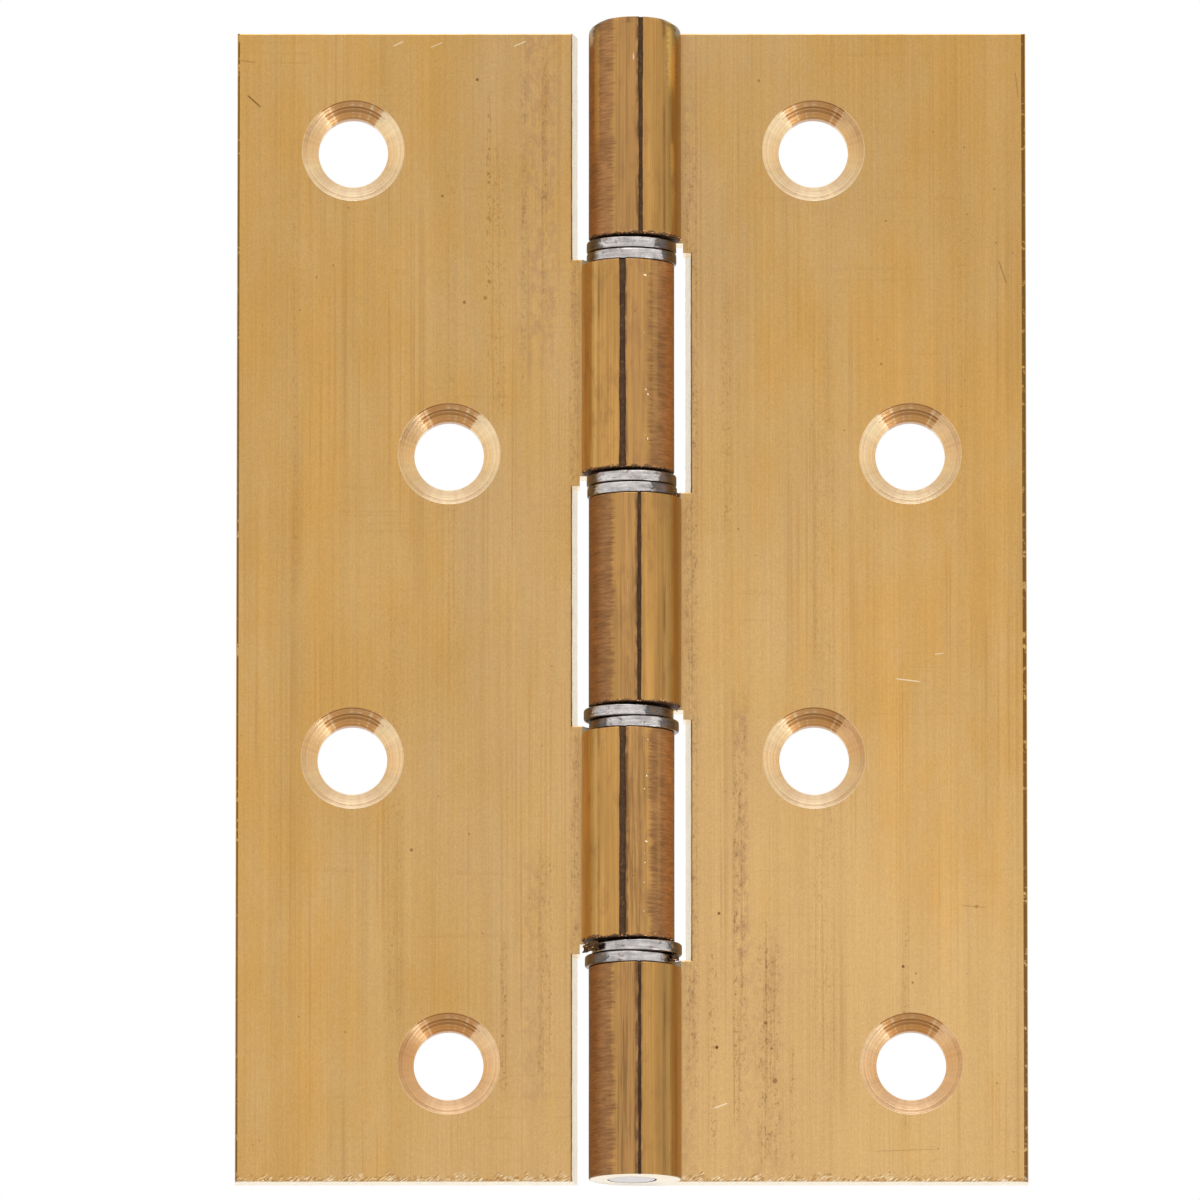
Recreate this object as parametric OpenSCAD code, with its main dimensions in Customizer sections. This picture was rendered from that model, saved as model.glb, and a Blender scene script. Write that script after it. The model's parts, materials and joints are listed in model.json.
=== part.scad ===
// Butt hinge with five rolled knuckles and a pair of washers in each gap.
// The pin stands along Z, the open leaves lie along X and their countersunk faces look along -Y.
// The origin is on the pin's axis, halfway along the barrel.

/* [Leaves] */
// Height of each leaf, along the pin
leaf_h = 100; // [94:1:110]
// Width of one leaf, from the pin's axis to its free edge
leaf_w = 34; // [31:0.5:40]
// Thickness of the leaf plate
leaf_t = 2.5; // [2:0.1:3]
// Chamfer along both corners of the free edge
edge_chamfer = 0.2; // [0.1:0.05:0.6]
// Distance from the pin's axis to the front corner of a slot
slot_front = 5.1; // [4.9:0.1:6]
// How much nearer to the axis the back corner of a slot is
slot_slope = 0.5; // [0:0.1:0.6]

/* [Knuckles] */
// Outer diameter of a knuckle
knuckle_d = 8; // [7.6:0.1:8.4]
// Distance between the middles of neighbouring gaps
knuckle_pitch = 20.35; // [18:0.05:21]
// Distance from the pin's axis to a knuckle's own centre, towards its leaf
knuckle_shift = 0.3; // [0:0.05:0.4]
// How far the top knuckle stands above the leaves
barrel_proud = 0.5; // [0.2:0.1:1.5]
// Chamfer round each end of a knuckle
knuckle_chamfer = 0.15; // [0.05:0.05:0.4]
// Gap between the roots of neighbouring knuckles
root_gap = 0.5; // [0.3:0.1:1]
// Width of the open seam along a knuckle
seam_w = 0.4; // [0.2:0.05:0.8]
// Distance from a knuckle's centre to the middle of its seam, towards its leaf
seam_offset = 0.5; // [0.3:0.05:0.9]

/* [Pin] */
// Diameter of the pin
pin_d = 4.1; // [3.6:0.05:4.4]
// Chamfer at each end of the pin
pin_chamfer = 0.2; // [0.1:0.05:0.5]
// Radial clearance of the pin in the door leaf's knuckles
running_clearance = 0.05; // [0.02:0.01:0.1]

/* [Washers] */
// Outer diameter of a washer
washer_d = 7.8; // [7:0.1:8]
// Thickness of a washer
washer_t = 1.0; // [0.6:0.05:1.4]
// Rounding of the outer edges of a washer
washer_edge = 0.25; // [0.05:0.05:0.25]
// Radial play of a washer on the pin
washer_play = 0.5; // [0.2:0.05:0.6]
// Axial play of a pair of washers in its gap
end_play = 0.3; // [0.2:0.05:0.8]
// Clearance round a washer that has moved to the end of its play
washer_room = 0.1; // [0.05:0.05:0.3]

/* [Screw holes] */
// Diameter of a screw hole
screw_hole_d = 6; // [5:0.1:6.4]
// Diameter of a countersink at the face
countersink_d = 8.8; // [8:0.1:9.4]
// Included angle of a countersink
countersink_angle = 90; // [80:1:100]
// Distance between neighbouring rows of holes
screw_pitch = 26.5; // [22:0.1:27]
// Distance from the pin's axis to the inner column of holes
inner_column = 15.7; // [13:0.1:18]
// Distance from the pin's axis to the outer column of holes
outer_column = 24; // [20:0.1:26]

/* [Hidden] */

$fn = 96;

// Cuts run this far past the faces that they open, and joined solids this far into each other.
past = 1;

brass = "#c89c5e";
steel = "#8d8a88";

knuckle_count = 5;
screw_rows = 4;

knuckle_r = knuckle_d / 2;
pin_r = pin_d / 2;

// The back of a leaf is level with the back of the barrel.
leaf_back = knuckle_r;
leaf_front = leaf_back - leaf_t;

barrel_top = (leaf_h + barrel_proud) / 2;
barrel_bottom = -barrel_top;
leaf_bottom = barrel_bottom;
leaf_top = leaf_bottom + leaf_h;
leaf_middle = (leaf_top + leaf_bottom) / 2;

// Room between two knuckles for a pair of washers.
knuckle_gap = 2 * washer_t + end_play;
washer_bore_d = pin_d + 2 * washer_play;
washer_room_r = washer_d / 2 + washer_play + washer_room;

countersink_depth = (countersink_d - screw_hole_d) / 2 / tan(countersink_angle / 2);

// Where each washer lies across the leaves, as a share of its play: upper and lower in each gap.
washer_lies = [[0, 0], [0, 0.1], [-0.5, 0.4], [0.9, -0.3]];

// Knuckles and gaps are counted from the top, and gap i is below knuckle i.
function gap_middle(i) = leaf_middle + (knuckle_count / 2 - 1 - i) * knuckle_pitch;
function is_top(i) = i == 0;
function is_bottom(i) = i == knuckle_count - 1;
function root_top(i) = is_top(i) ? leaf_top : gap_middle(i - 1) - root_gap / 2;
function root_bottom(i) = is_bottom(i) ? leaf_bottom : gap_middle(i) + root_gap / 2;
function knuckle_top(i) = is_top(i) ? barrel_top : gap_middle(i - 1) - knuckle_gap / 2;
function knuckle_bottom(i) = is_bottom(i) ? barrel_bottom : gap_middle(i) + knuckle_gap / 2;
function row_height(row) = leaf_middle + (row - (screw_rows - 1) / 2) * screw_pitch;

// A round bar standing on z = 0 with both ends chamfered.
module chamfered_bar(r, h, c) {
    rotate_extrude()
        polygon([[0, 0], [r - c, 0], [r, c], [r, h - c], [r - c, h], [0, h]]);
}

// The plate of a leaf, with its inner edge cut back for the other leaf's knuckles.
module leaf_plate() {
    translate([0, 0, leaf_bottom])
        linear_extrude(leaf_h)
            polygon([
                [slot_front, leaf_front],
                [leaf_w - edge_chamfer, leaf_front],
                [leaf_w, leaf_front + edge_chamfer],
                [leaf_w, leaf_back - edge_chamfer],
                [leaf_w - edge_chamfer, leaf_back],
                [slot_front - slot_slope, leaf_back]
            ]);
}

// The tongue that joins knuckle i to the plate.
module root(i) {
    translate([knuckle_shift, leaf_front, root_bottom(i)])
        cube([slot_front + past - knuckle_shift, leaf_t, root_top(i) - root_bottom(i)]);
}

module knuckle(i) {
    translate([knuckle_shift, 0, knuckle_bottom(i)])
        chamfered_bar(knuckle_r, knuckle_top(i) - knuckle_bottom(i), knuckle_chamfer);
}

// The open seam where the rolled end of a knuckle meets its start, from the face into the bore.
module seam() {
    translate([knuckle_shift + seam_offset - seam_w / 2, -knuckle_r - past, barrel_bottom - past])
        cube([seam_w, knuckle_r + past, barrel_top - barrel_bottom + 2 * past]);
}

// Room for the washers in gap i, cut out of the roots beside it.
module washer_room_cut(i) {
    translate([0, 0, gap_middle(i) - knuckle_gap / 2])
        cylinder(r = washer_room_r, h = knuckle_gap);
}

module screw_hole() {
    rotate([-90, 0, 0]) {
        translate([0, 0, leaf_front - past])
            cylinder(d = screw_hole_d, h = leaf_t + 2 * past);
        translate([0, 0, leaf_front])
            cylinder(d1 = countersink_d, d2 = screw_hole_d, h = countersink_depth);
        translate([0, 0, leaf_front - past])
            cylinder(d = countersink_d, h = past);
    }
}

// Rows of holes that step between the two columns, starting at the bottom of the leaf.
module screw_holes(columns) {
    for (row = [0 : screw_rows - 1])
        translate([columns[row % 2], 0, row_height(row)])
            screw_hole();
}

// A leaf towards +X with every second knuckle, counted from the knuckle number first.
module leaf(first, bore_r, columns) {
    difference() {
        union() {
            leaf_plate();
            for (i = [first : 2 : knuckle_count - 1]) {
                root(i);
                knuckle(i);
            }
        }
        translate([0, 0, barrel_bottom - past])
            cylinder(r = bore_r, h = barrel_top - barrel_bottom + 2 * past);
        seam();
        for (i = [0 : knuckle_count - 2])
            washer_room_cut(i);
        screw_holes(columns);
    }
}

module frame_leaf() {
    color(brass)
        leaf(0, pin_r, [outer_column, inner_column]);
}

module door_leaf() {
    color(brass)
        mirror([1, 0, 0])
            leaf(1, pin_r + running_clearance, [inner_column, outer_column]);
}

module hinge_pin() {
    color(steel)
        translate([0, 0, barrel_bottom])
            chamfered_bar(pin_r, barrel_top - barrel_bottom, pin_chamfer);
}

// A ring standing on z = 0 with rounded outer edges.
module washer_ring() {
    difference() {
        rotate_extrude()
            union() {
                square([washer_d / 2 - washer_edge, washer_t]);
                translate([0, washer_edge])
                    square([washer_d / 2, washer_t - 2 * washer_edge]);
                for (z = [washer_edge, washer_t - washer_edge])
                    translate([washer_d / 2 - washer_edge, z])
                        circle(r = washer_edge, $fn = 32);
            }
        translate([0, 0, -past])
            cylinder(d = washer_bore_d, h = washer_t + 2 * past);
    }
}

// The washers of gap i lie on the knuckle below it. Layer 1 is the upper one and layer 0 the lower.
module washer(i, layer) {
    color(steel)
        translate([
            washer_lies[i][1 - layer] * washer_play,
            0,
            gap_middle(i) - knuckle_gap / 2 + layer * washer_t
        ])
            washer_ring();
}

frame_leaf();
door_leaf();
hinge_pin();
washer(0, 1);  // washer_1_upper
washer(0, 0);  // washer_1_lower
washer(1, 1);  // washer_2_upper
washer(1, 0);  // washer_2_lower
washer(2, 1);  // washer_3_upper
washer(2, 0);  // washer_3_lower
washer(3, 1);  // washer_4_upper
washer(3, 0);  // washer_4_lower
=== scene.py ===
"""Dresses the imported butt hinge: rolled brass leaves, steel pin, washers, saw burrs and the stage."""

import json
import math

import bmesh
import bpy
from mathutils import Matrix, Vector
from mathutils import noise
from mathutils.geometry import delaunay_2d_cdt


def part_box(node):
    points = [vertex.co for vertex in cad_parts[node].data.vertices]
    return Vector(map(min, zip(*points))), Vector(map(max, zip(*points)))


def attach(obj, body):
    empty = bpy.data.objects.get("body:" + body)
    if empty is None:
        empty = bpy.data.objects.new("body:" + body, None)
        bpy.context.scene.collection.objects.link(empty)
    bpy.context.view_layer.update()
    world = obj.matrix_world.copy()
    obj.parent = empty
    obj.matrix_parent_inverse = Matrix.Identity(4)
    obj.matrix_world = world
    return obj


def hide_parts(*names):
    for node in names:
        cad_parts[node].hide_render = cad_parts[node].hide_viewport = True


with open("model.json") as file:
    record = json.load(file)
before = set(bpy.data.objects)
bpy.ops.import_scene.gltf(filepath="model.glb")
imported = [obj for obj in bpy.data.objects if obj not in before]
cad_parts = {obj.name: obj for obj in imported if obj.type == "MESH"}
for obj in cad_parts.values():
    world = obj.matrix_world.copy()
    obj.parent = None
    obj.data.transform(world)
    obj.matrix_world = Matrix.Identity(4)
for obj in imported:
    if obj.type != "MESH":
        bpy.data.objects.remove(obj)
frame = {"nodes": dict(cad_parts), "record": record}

bl_info = {
    "name": "Washered butt hinge",
    "version": (1, 0, 0),
    "blender": (4, 5, 0),
    "location": "3D View > Sidebar > Hinge",
    "description": "Builds the visible pieces of a washered butt hinge round its packed frame",
    "category": "Object",
}

MM = 0.001

FRAME_BODY = "frame_side"
DOOR_BODY = "door_side"

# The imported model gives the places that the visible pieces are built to.
FRAME_LOW, FRAME_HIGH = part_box("frame_leaf")
DOOR_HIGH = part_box("door_leaf")[1]
PIN_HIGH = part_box("hinge_pin")[1]
WASHERS = sorted(name for name in frame["nodes"] if name.startswith("washer"))
GAPS = 4

# Places round the barrel are arc lengths at this radius, in millimetres, from the front.
BARREL_R = 4.0


# ---------------------------------------------------------------- sizes and finishes


def length(name, description, value):
    """A length property, in metres."""
    return bpy.props.FloatProperty(name=name, description=description, default=value, unit="LENGTH")


def colour(name, description, value):
    """A colour property."""
    return bpy.props.FloatVectorProperty(
        name=name, description=description, subtype="COLOR", size=3, min=0, max=1, default=value
    )


class HingeSizes(bpy.types.PropertyGroup):
    leaf_thickness: length("Leaf thickness", "Thickness of both leaf plates", 2.5 * MM)
    knuckle_shift: length("Knuckle shift", "From the pin's axis to a knuckle's centre", 0.3 * MM)
    slot_front: length("Slot front", "From the pin's axis to the front corner of a slot", 5.1 * MM)
    slot_slope: length("Slot slope", "How much nearer to the axis the back corner of a slot is", 0.5 * MM)
    seam_width: length("Seam width", "Mean width of the seam along a knuckle", 0.32 * MM)
    seam_depth: length("Seam depth", "Mean depth down to the dirt that fills a seam", 0.2 * MM)
    seam_offset: length("Seam offset", "From a knuckle's centre to its seam, towards its leaf", 0.5 * MM)
    root_gap: length("Root gap", "Gap between the roots of neighbouring knuckles", 0.5 * MM)
    countersink: length("Countersink", "Diameter of a countersink at the face of the leaf", 8.8 * MM)
    edge: length("Edge", "Rounding along the sheared edges of a leaf", 0.1 * MM)
    bevel: length("Bevel", "Bevel along the free edge of a leaf", 0.2 * MM)
    washer_edge: length("Washer edge", "Rounding of a washer's edges", 0.2 * MM)
    bore_slack: length("Bore slack", "Visible gap round the pin inside a knuckle", 0.07 * MM)


class HingeFinish(bpy.types.PropertyGroup):
    drawn: colour("Drawn brass", "Colour of the drawn faces of the leaves", (0.605, 0.341, 0.100))
    drawn_pale: colour("Pale brass", "Colour of the paler clouds on the drawn faces", (0.602, 0.377, 0.156))
    stain: colour("Stain", "Colour of the copper stains on the faces", (0.40, 0.195, 0.060))
    bloom: colour("Bloom", "Colour of the pinkish bloom in the stained bands", (0.42, 0.235, 0.125))
    gilt: colour("Gilt", "Colour of the brightest polished brass", (0.80, 0.48, 0.12))
    copper: colour("Copper", "Colour of torn copper-red crumbs", (0.78, 0.38, 0.19))
    cut: colour("Cut brass", "Colour of sheared, sawn and turned brass", (1.0, 0.84, 0.605))
    turned: colour("Turned brass", "Colour of the countersinks", (0.98, 0.78, 0.51))
    # Painted highlight: the lower half of each countersink is painted in this colour.
    turned_painted_highlight: colour("Turned bright", "Colour of the lower half of a countersink", (1.0, 0.87, 0.62))
    turned_deep: colour("Turned shade", "Colour of the duller turned brass", (0.76, 0.38, 0.125))
    # Painted shade: the top of each countersink, where the cone faces down, is painted in this colour.
    turned_painted_shade: colour("Turned top", "Colour of the smeared top of a countersink", (0.54, 0.26, 0.080))
    rolled: colour("Rolled brass", "Colour of the polished part of a knuckle", (0.53, 0.285, 0.084))
    rolled_crease: colour("Rolled crease", "Colour of a knuckle where it meets its leaf", (0.53, 0.32, 0.10))
    scuffed: colour("Scuffed brass", "Colour of the linished part of a knuckle", (0.33, 0.163, 0.064))
    tarnish: colour("Tarnish", "Colour of lines of tarnish", (0.125, 0.056, 0.022))
    speck: colour("Specks", "Colour of the brown specks on the faces", (0.165, 0.070, 0.016))
    grime: colour("Grime", "Colour of old oil in the seams and bores", (0.150, 0.082, 0.044))
    steel: colour("Steel", "Colour of the washers and the pin", (0.56, 0.525, 0.51))


class HingeStage(bpy.types.PropertyGroup):
    distance: length("Camera distance", "Distance from the camera to the hinge", 2.0)
    elevation: bpy.props.FloatProperty(
        name="Camera elevation",
        description="Angle of the camera above the hinge",
        default=math.radians(-9.0),
        subtype="ANGLE",
    )
    framed_width: length("Framed width", "Width of the view at the hinge", 103.2 * MM)
    floor_drop: length("Floor drop", "Height of the hinge above the floor", 0.6)


# ---------------------------------------------------------------- node building


class Term:
    """A node's output, which Python's operators combine with numbers and other outputs."""

    def __init__(self, nodes, socket):
        self.nodes = nodes
        self.socket = socket

    def __add__(self, other):
        return self.nodes.math("ADD", self, other)

    def __sub__(self, other):
        return self.nodes.math("SUBTRACT", self, other)

    def __mul__(self, other):
        return self.nodes.math("MULTIPLY", self, other)

    def __truediv__(self, other):
        return self.nodes.math("DIVIDE", self, other)

    def __abs__(self):
        return self.nodes.math("ABSOLUTE", self)

    def __gt__(self, other):
        return self.nodes.math("GREATER_THAN", self, other)

    def __lt__(self, other):
        return self.nodes.math("LESS_THAN", self, other)


class Nodes:
    """A node tree, with short calls for the nodes that are used most."""

    def __init__(self, tree):
        self.tree = tree

    def put(self, socket, value):
        """Sets a socket to a value or links it to another node's output."""
        if isinstance(value, Term):
            self.tree.links.new(value.socket, socket)
        else:
            socket.default_value = value

    def fill(self, node, inputs):
        """Puts values into a node's inputs, by their names or numbers."""
        for key, value in inputs.items():
            self.put(node.inputs[key], value)

    def node(self, kind, inputs=None, **settings):
        """A new node. Its settings come first, because some of them change its inputs."""
        made = self.tree.nodes.new(kind)
        for key, value in settings.items():
            setattr(made, key, value)
        self.fill(made, inputs or {})
        return made

    def out(self, node, output=0):
        return Term(self, node.outputs[output])

    def term(self, kind, inputs=None, output=0, **settings):
        """One output of a new node."""
        return self.out(self.node(kind, inputs, **settings), output)

    def math(self, operation, *values):
        return self.term("ShaderNodeMath", dict(enumerate(values)), operation=operation)

    def vector(self, operation, *values, output=0):
        return self.term("ShaderNodeVectorMath", dict(enumerate(values)), output, operation=operation)

    def scaled(self, vector, factor):
        """A vector times a factor, or a colour made lighter or darker."""
        return self.term("ShaderNodeVectorMath", {0: vector, "Scale": factor}, operation="SCALE")

    def split(self, vector):
        node = self.node("ShaderNodeSeparateXYZ", {0: vector})
        return [Term(self, output) for output in node.outputs]

    def joined(self, *values):
        return self.term("ShaderNodeCombineXYZ", dict(enumerate(values)))

    def ramp(self, value, low, high, to_low=0.0, to_high=1.0):
        """A smooth step from low to high."""
        inputs = {"Value": value, "From Min": low, "From Max": high, "To Min": to_low, "To Max": to_high}
        return self.term("ShaderNodeMapRange", inputs, interpolation_type="SMOOTHSTEP")

    def most(self, found, *others):
        for other in others:
            found = self.math("MAXIMUM", found, other)
        return found

    def mirrored_rays(self, paths):
        """1 for the rays that metal and glass send out."""
        return self.most(self.out(paths, "Is Glossy Ray"), self.out(paths, "Is Transmission Ray"))


class Shading(Nodes):
    """A material's nodes. Its x, y and z are the place on the object, in millimetres."""

    def __init__(self, name):
        self.material = bpy.data.materials.new(name)
        self.material.use_nodes = True
        super().__init__(self.material.node_tree)
        self.tree.nodes.clear()
        self.shader = self.node("ShaderNodeBsdfPrincipled")
        self.output = self.node("ShaderNodeOutputMaterial", {0: self.out(self.shader)})
        self.mm = self.in_mm(self.term("ShaderNodeTexCoord", output="Object"))
        self.x, self.y, self.z = self.split(self.mm)

    def in_mm(self, vector):
        return self.vector("MULTIPLY", vector, (1 / MM, 1 / MM, 1 / MM))

    def far(self, a, b):
        """The distance of a place from an axis."""
        return self.math("SQRT", self.math("POWER", a, 2.0) + self.math("POWER", b, 2.0))

    def round_barrel(self, x):
        """The arc from the front of the barrel to a place, in millimetres."""
        return self.math("ARCTAN2", x, self.y * -1.0) * BARREL_R

    def noise(self, scale, seed=0.0, detail=2.0, vector=None, roughness=0.5):
        """Noise from 0 to 1 with scale in features a millimetre along x, y and z."""
        moved = self.vector("MULTIPLY_ADD", vector or self.mm, scale, (seed, seed * 1.7, seed * 0.6))
        inputs = {"Vector": moved, "Scale": 1.0, "Detail": detail, "Roughness": roughness}
        return self.term("ShaderNodeTexNoise", inputs)

    def specks(self, pitch, size, share, seed=0.0):
        """Round specks of a size in millimetres, in a share of the cells of a grid of that pitch."""
        moved = self.vector("MULTIPLY_ADD", self.mm, (1 / pitch,) * 3, (seed,) * 3)
        cells = self.node("ShaderNodeTexVoronoi", {"Scale": 1.0, "Vector": moved})
        near = self.ramp(self.out(cells, "Distance"), size / pitch, 0.5 * size / pitch)
        return near * (self.split(self.out(cells, "Color"))[0] < share)

    def mix(self, amount, *pair):
        """The first colour of a pair, covered by an amount of the second."""
        a, b = (value if isinstance(value, Term) else (*value, 1.0) for value in pair)
        return self.term("ShaderNodeMix", {0: amount, 6: a, 7: b}, 2, data_type="RGBA", clamp_factor=True)

    def layered(self, base, *layers):
        """A colour with others laid over it in turn, each an (amount, colour)."""
        for amount, layer in layers:
            base = self.mix(amount, base, layer)
        return base

    def swing(self, value, middle, reach):
        """Maps noise from 0 to 1 to middle plus or minus reach."""
        return self.math("MULTIPLY_ADD", value, 2 * reach, middle - reach)

    def varied(self, first, *others):
        """A factor round 1 that follows several noises, each a (noise, reach)."""
        factor = self.swing(first[0], 1.0, first[1])
        for value, reach in others:
            factor = factor * self.swing(value, 1.0, reach)
        return factor

    def scratch(self, start, end, width):
        """A straight scratch on the face, between two points in millimetres."""
        ax, az = start
        bx, bz = end
        length = math.hypot(bx - ax, bz - az)
        ux = (bx - ax) / length
        uz = (bz - az) / length
        dx = self.x - ax
        dz = self.z - az
        along = dx * ux + dz * uz
        across = dx * uz - dz * ux
        inside = self.ramp(along, 0, 0.15 * length) * self.ramp(along, length, 0.8 * length)
        return self.ramp(abs(across), width, 0.3 * width) * inside

    def spot(self, x, z, radius):
        """A round spot on the face, at a place in millimetres."""
        away = self.vector("DISTANCE", self.joined(self.x, 0.0, self.z), (x, 0.0, z), output="Value")
        return self.ramp(away, radius, 0.5 * radius)

    def column(self, x, half_width, low, high):
        """A soft-edged column on the face, between two heights in millimetres."""
        fade = 0.15 * (high - low)
        inside = self.ramp(self.z, low, low + fade) * self.ramp(self.z, high, high - fade)
        return self.ramp(abs(self.x - x), half_width, 0.4 * half_width) * inside

    def each(self, mark, places):
        """A mark at each of some places, by the strength that ends its line in the list."""
        return [mark(*place) * strength for *place, strength in places]

    def finish(self, colour, roughness, height, depth, metallic=1.0, specular=0.5):
        """Sets the shader's sockets. The height is in units of depth, which is in millimetres."""
        bump = {"Strength": 1.0, "Distance": depth * MM, "Height": height}
        surface = {"Base Color": colour, "Roughness": roughness, "Normal": self.term("ShaderNodeBump", bump)}
        self.fill(self.shader, {"Metallic": metallic, "Specular IOR Level": specular, **surface})
        return self.material


# ---------------------------------------------------------------- materials


def drawn_brass(name, finish, seed, wear_and_light):
    """The face of a leaf: drawing lines along the strip, clouds, stains, specks, a few scratches and painted
    light that brightens it towards its bottom.
    """
    s = Shading(name)
    fine = s.noise((6.0, 1.0, 0.04), seed, 3)
    broad = s.noise((0.45, 1.0, 0.010), seed + 3, 2)
    cloud = s.noise((0.07, 0.07, 0.05), seed + 7, 4, roughness=0.6)
    hue = s.noise((0.20, 0.1, 0.07), seed + 9, 5, roughness=0.65)
    grain = s.noise((8.0, 4.0, 6.0), seed + 11, 3, roughness=0.7)
    paler = s.ramp(abs(s.x), 27.0, 5.0, -0.10, 0.10) + s.ramp(s.z, 10.0, -50.0, 0.0, wear_and_light["pale"])
    base = s.mix(s.ramp(hue + paler, 0.26, 0.74), finish.drawn, finish.drawn_pale)
    factor = s.varied((fine, 0.14), (broad, 0.08), (cloud, 0.11), (grain, 0.24))
    # Painted light: the colour is painted brighter towards the bottom, by the leaf's low_light factor.
    factor = factor * s.ramp(s.z, 50.0, -50.0, 0.98, wear_and_light["low_light"])
    strokes = s.ramp(s.noise((3.4, 1.0, 0.012), seed + 13, 3), 0.54, 0.64)
    strokes = strokes * s.ramp(s.noise((0.22, 1.0, 0.05), seed + 15, 3), 0.46, 0.62)
    cross = s.ramp(s.noise((0.03, 1.0, 2.2), seed + 17, 1), 0.62, 0.70)
    cross = cross * s.ramp(s.noise((0.16, 1.0, 0.12), seed + 19, 2), 0.52, 0.62)
    dragged = s.ramp(s.noise((4.5, 1.0, 0.05), seed + 31, 4, roughness=0.6), 0.50, 0.62, 0.0, 0.5)
    dirty = s.most(0.0, *s.each(s.column, wear_and_light["columns"]))
    stains = s.most(strokes * 0.26, cross * 0.12, dragged * dirty)
    mottle = s.ramp(s.noise((1.9, 1.0, 1.0), seed + 35, 5, roughness=0.72), 0.42, 0.62)
    blooms = [(band * mottle, finish.bloom) for band in s.each(s.column, wear_and_light["bands"])]
    grit = s.ramp(s.noise((5.0, 1.0, 3.4), seed + 33, 4, roughness=0.75), 0.535, 0.60)
    grit = grit * (mottle * 0.65 + 0.35)
    crowded = s.ramp(s.noise((0.10, 0.1, 0.08), seed + 21, 2), 0.48, 0.62)
    # The arris inside the bevel of the free edge, in millimetres from the pin's axis.
    arris = FRAME_HIGH.x / MM - wear_and_light["edge"]
    off_face, on_face = 33.97, 33.9
    out = abs(s.x)
    out = s.ramp(out, arris - 0.05, arris + 0.03) * s.ramp(out, off_face, on_face)
    rubbed = s.ramp(s.noise((0.8, 1.0, 1.3), seed + 23, 4, roughness=0.7), 0.64, 0.56)
    marks = s.most(
        grit * dirty * 0.75,
        s.specks(1.3, 0.11, 0.30, seed) * crowded * 0.55,
        s.specks(3.6, 0.13, 0.25, seed + 4) * 0.50,
        s.specks(9.0, 0.22, 0.25, seed + 2) * 0.65,
        *s.each(s.spot, wear_and_light["spots"]),
        *s.each(s.scratch, wear_and_light["dark"]),
        out * rubbed * 0.9,
    )
    slanted = s.joined(s.x + s.z * 1.3, 0.0, s.z - s.x * 0.7)
    sawn = s.noise((1.3, 1.0, 9.0), seed + 25, 3, vector=slanted)
    rim = s.swing(s.noise((1.1, 1.0, 1.1), seed + 27, 3), FRAME_LOW.z / MM + 0.42, 1.3)
    near_rim = s.ramp(s.z - rim, 0.25, -0.15)
    torn = s.ramp(sawn, 0.50, 0.56) * near_rim * 0.75
    bright = s.most(s.ramp(sawn, 0.45, 0.39) * near_rim * 0.8, *s.each(s.scratch, wear_and_light["light"]))
    shaded = s.layered(
        s.scaled(base, factor),
        (stains, finish.stain),
        *blooms,
        (marks, finish.speck),
        (torn, finish.stain),
        (bright, finish.cut),
    )
    roughness = s.swing(fine, 0.27, 0.06) + s.swing(cloud, 0.0, 0.05)
    return s.finish(shaded, roughness, fine + near_rim * sawn - marks, 0.006)


def cut_brass(name, finish):
    """Sheared and sawn edges: pale fresh metal with fine tool lines."""
    s = Shading(name)
    lines = s.noise((1.5, 9.0, 1.5), 2, 3)
    blotch = s.noise((0.8, 0.8, 0.8), 4, 3)
    shaded = s.scaled(finish.cut, s.varied((lines, 0.08), (blotch, 0.10)))
    shaded = s.mix(s.specks(0.9, 0.10, 0.22, 6) * 0.6, shaded, finish.tarnish)
    return s.finish(shaded, s.swing(lines, 0.20, 0.10), lines, 0.012)


def turned_brass(name, finish):
    """Countersinks: rings left by the cutter and a little chatter round the cone, with a painted highlight on
    the lower half of each cone and painted shade on its top and upper right.
    """
    s = Shading(name)
    place = s.term("ShaderNodeAttribute", output="Vector", attribute_name="turning")
    x, y, z = s.split(s.in_mm(place))
    radius = s.far(x, z)
    angle = s.math("ARCTAN2", z, x)
    down_cone = s.joined(radius, y, 0.0)
    rings = s.noise((9.0, 1.0, 1.0), 1, 3, vector=down_cone)
    wide = s.noise((2.5, 1.0, 1.0), 5, 2, vector=down_cone)
    rays = s.joined(s.math("COSINE", angle), s.math("SINE", angle), radius * 0.08)
    chatter = s.noise((7.0, 7.0, 1.0), 8, 3, vector=rays)
    upward = z / radius + (s.swing(chatter, 0.0, 0.30) + s.swing(rings, 0.0, 0.20))
    # Painted shade on the top of each cone, with ragged edges from the chatter and rings.
    painted_top_shade = s.ramp(upward, 0.72, 0.92)
    # Painted shade towards the upper right of each cone.
    upper_right_shade = s.ramp(x / radius + z / radius, 0.9, 1.35)
    # Painted highlight on the lower half of each cone, weaker on the lowest holes.
    lower = s.ramp(upward, 0.1, -0.6) * s.ramp(s.z, -48.0, -20.0, 0.2, 0.8)
    base = s.layered(
        finish.turned,
        (s.ramp(s.z, 10.0, -48.0, 0.0, 0.26), finish.turned_deep),
        (lower, finish.turned_painted_highlight),
        (upper_right_shade * 0.22, finish.turned_deep),
        (painted_top_shade * 0.9, finish.turned_painted_shade),
    )
    shaded = s.scaled(base, s.varied((rings, 0.20), (chatter, 0.22), (wide, 0.12)))
    # Dark turning rings, only within the painted shade at the top of each cone.
    shaded = s.mix(s.ramp(rings, 0.52, 0.60) * painted_top_shade * 0.6, shaded, finish.tarnish)
    return s.finish(shaded, s.swing(rings, 0.30, 0.08), rings + wide, 0.015)


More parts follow.
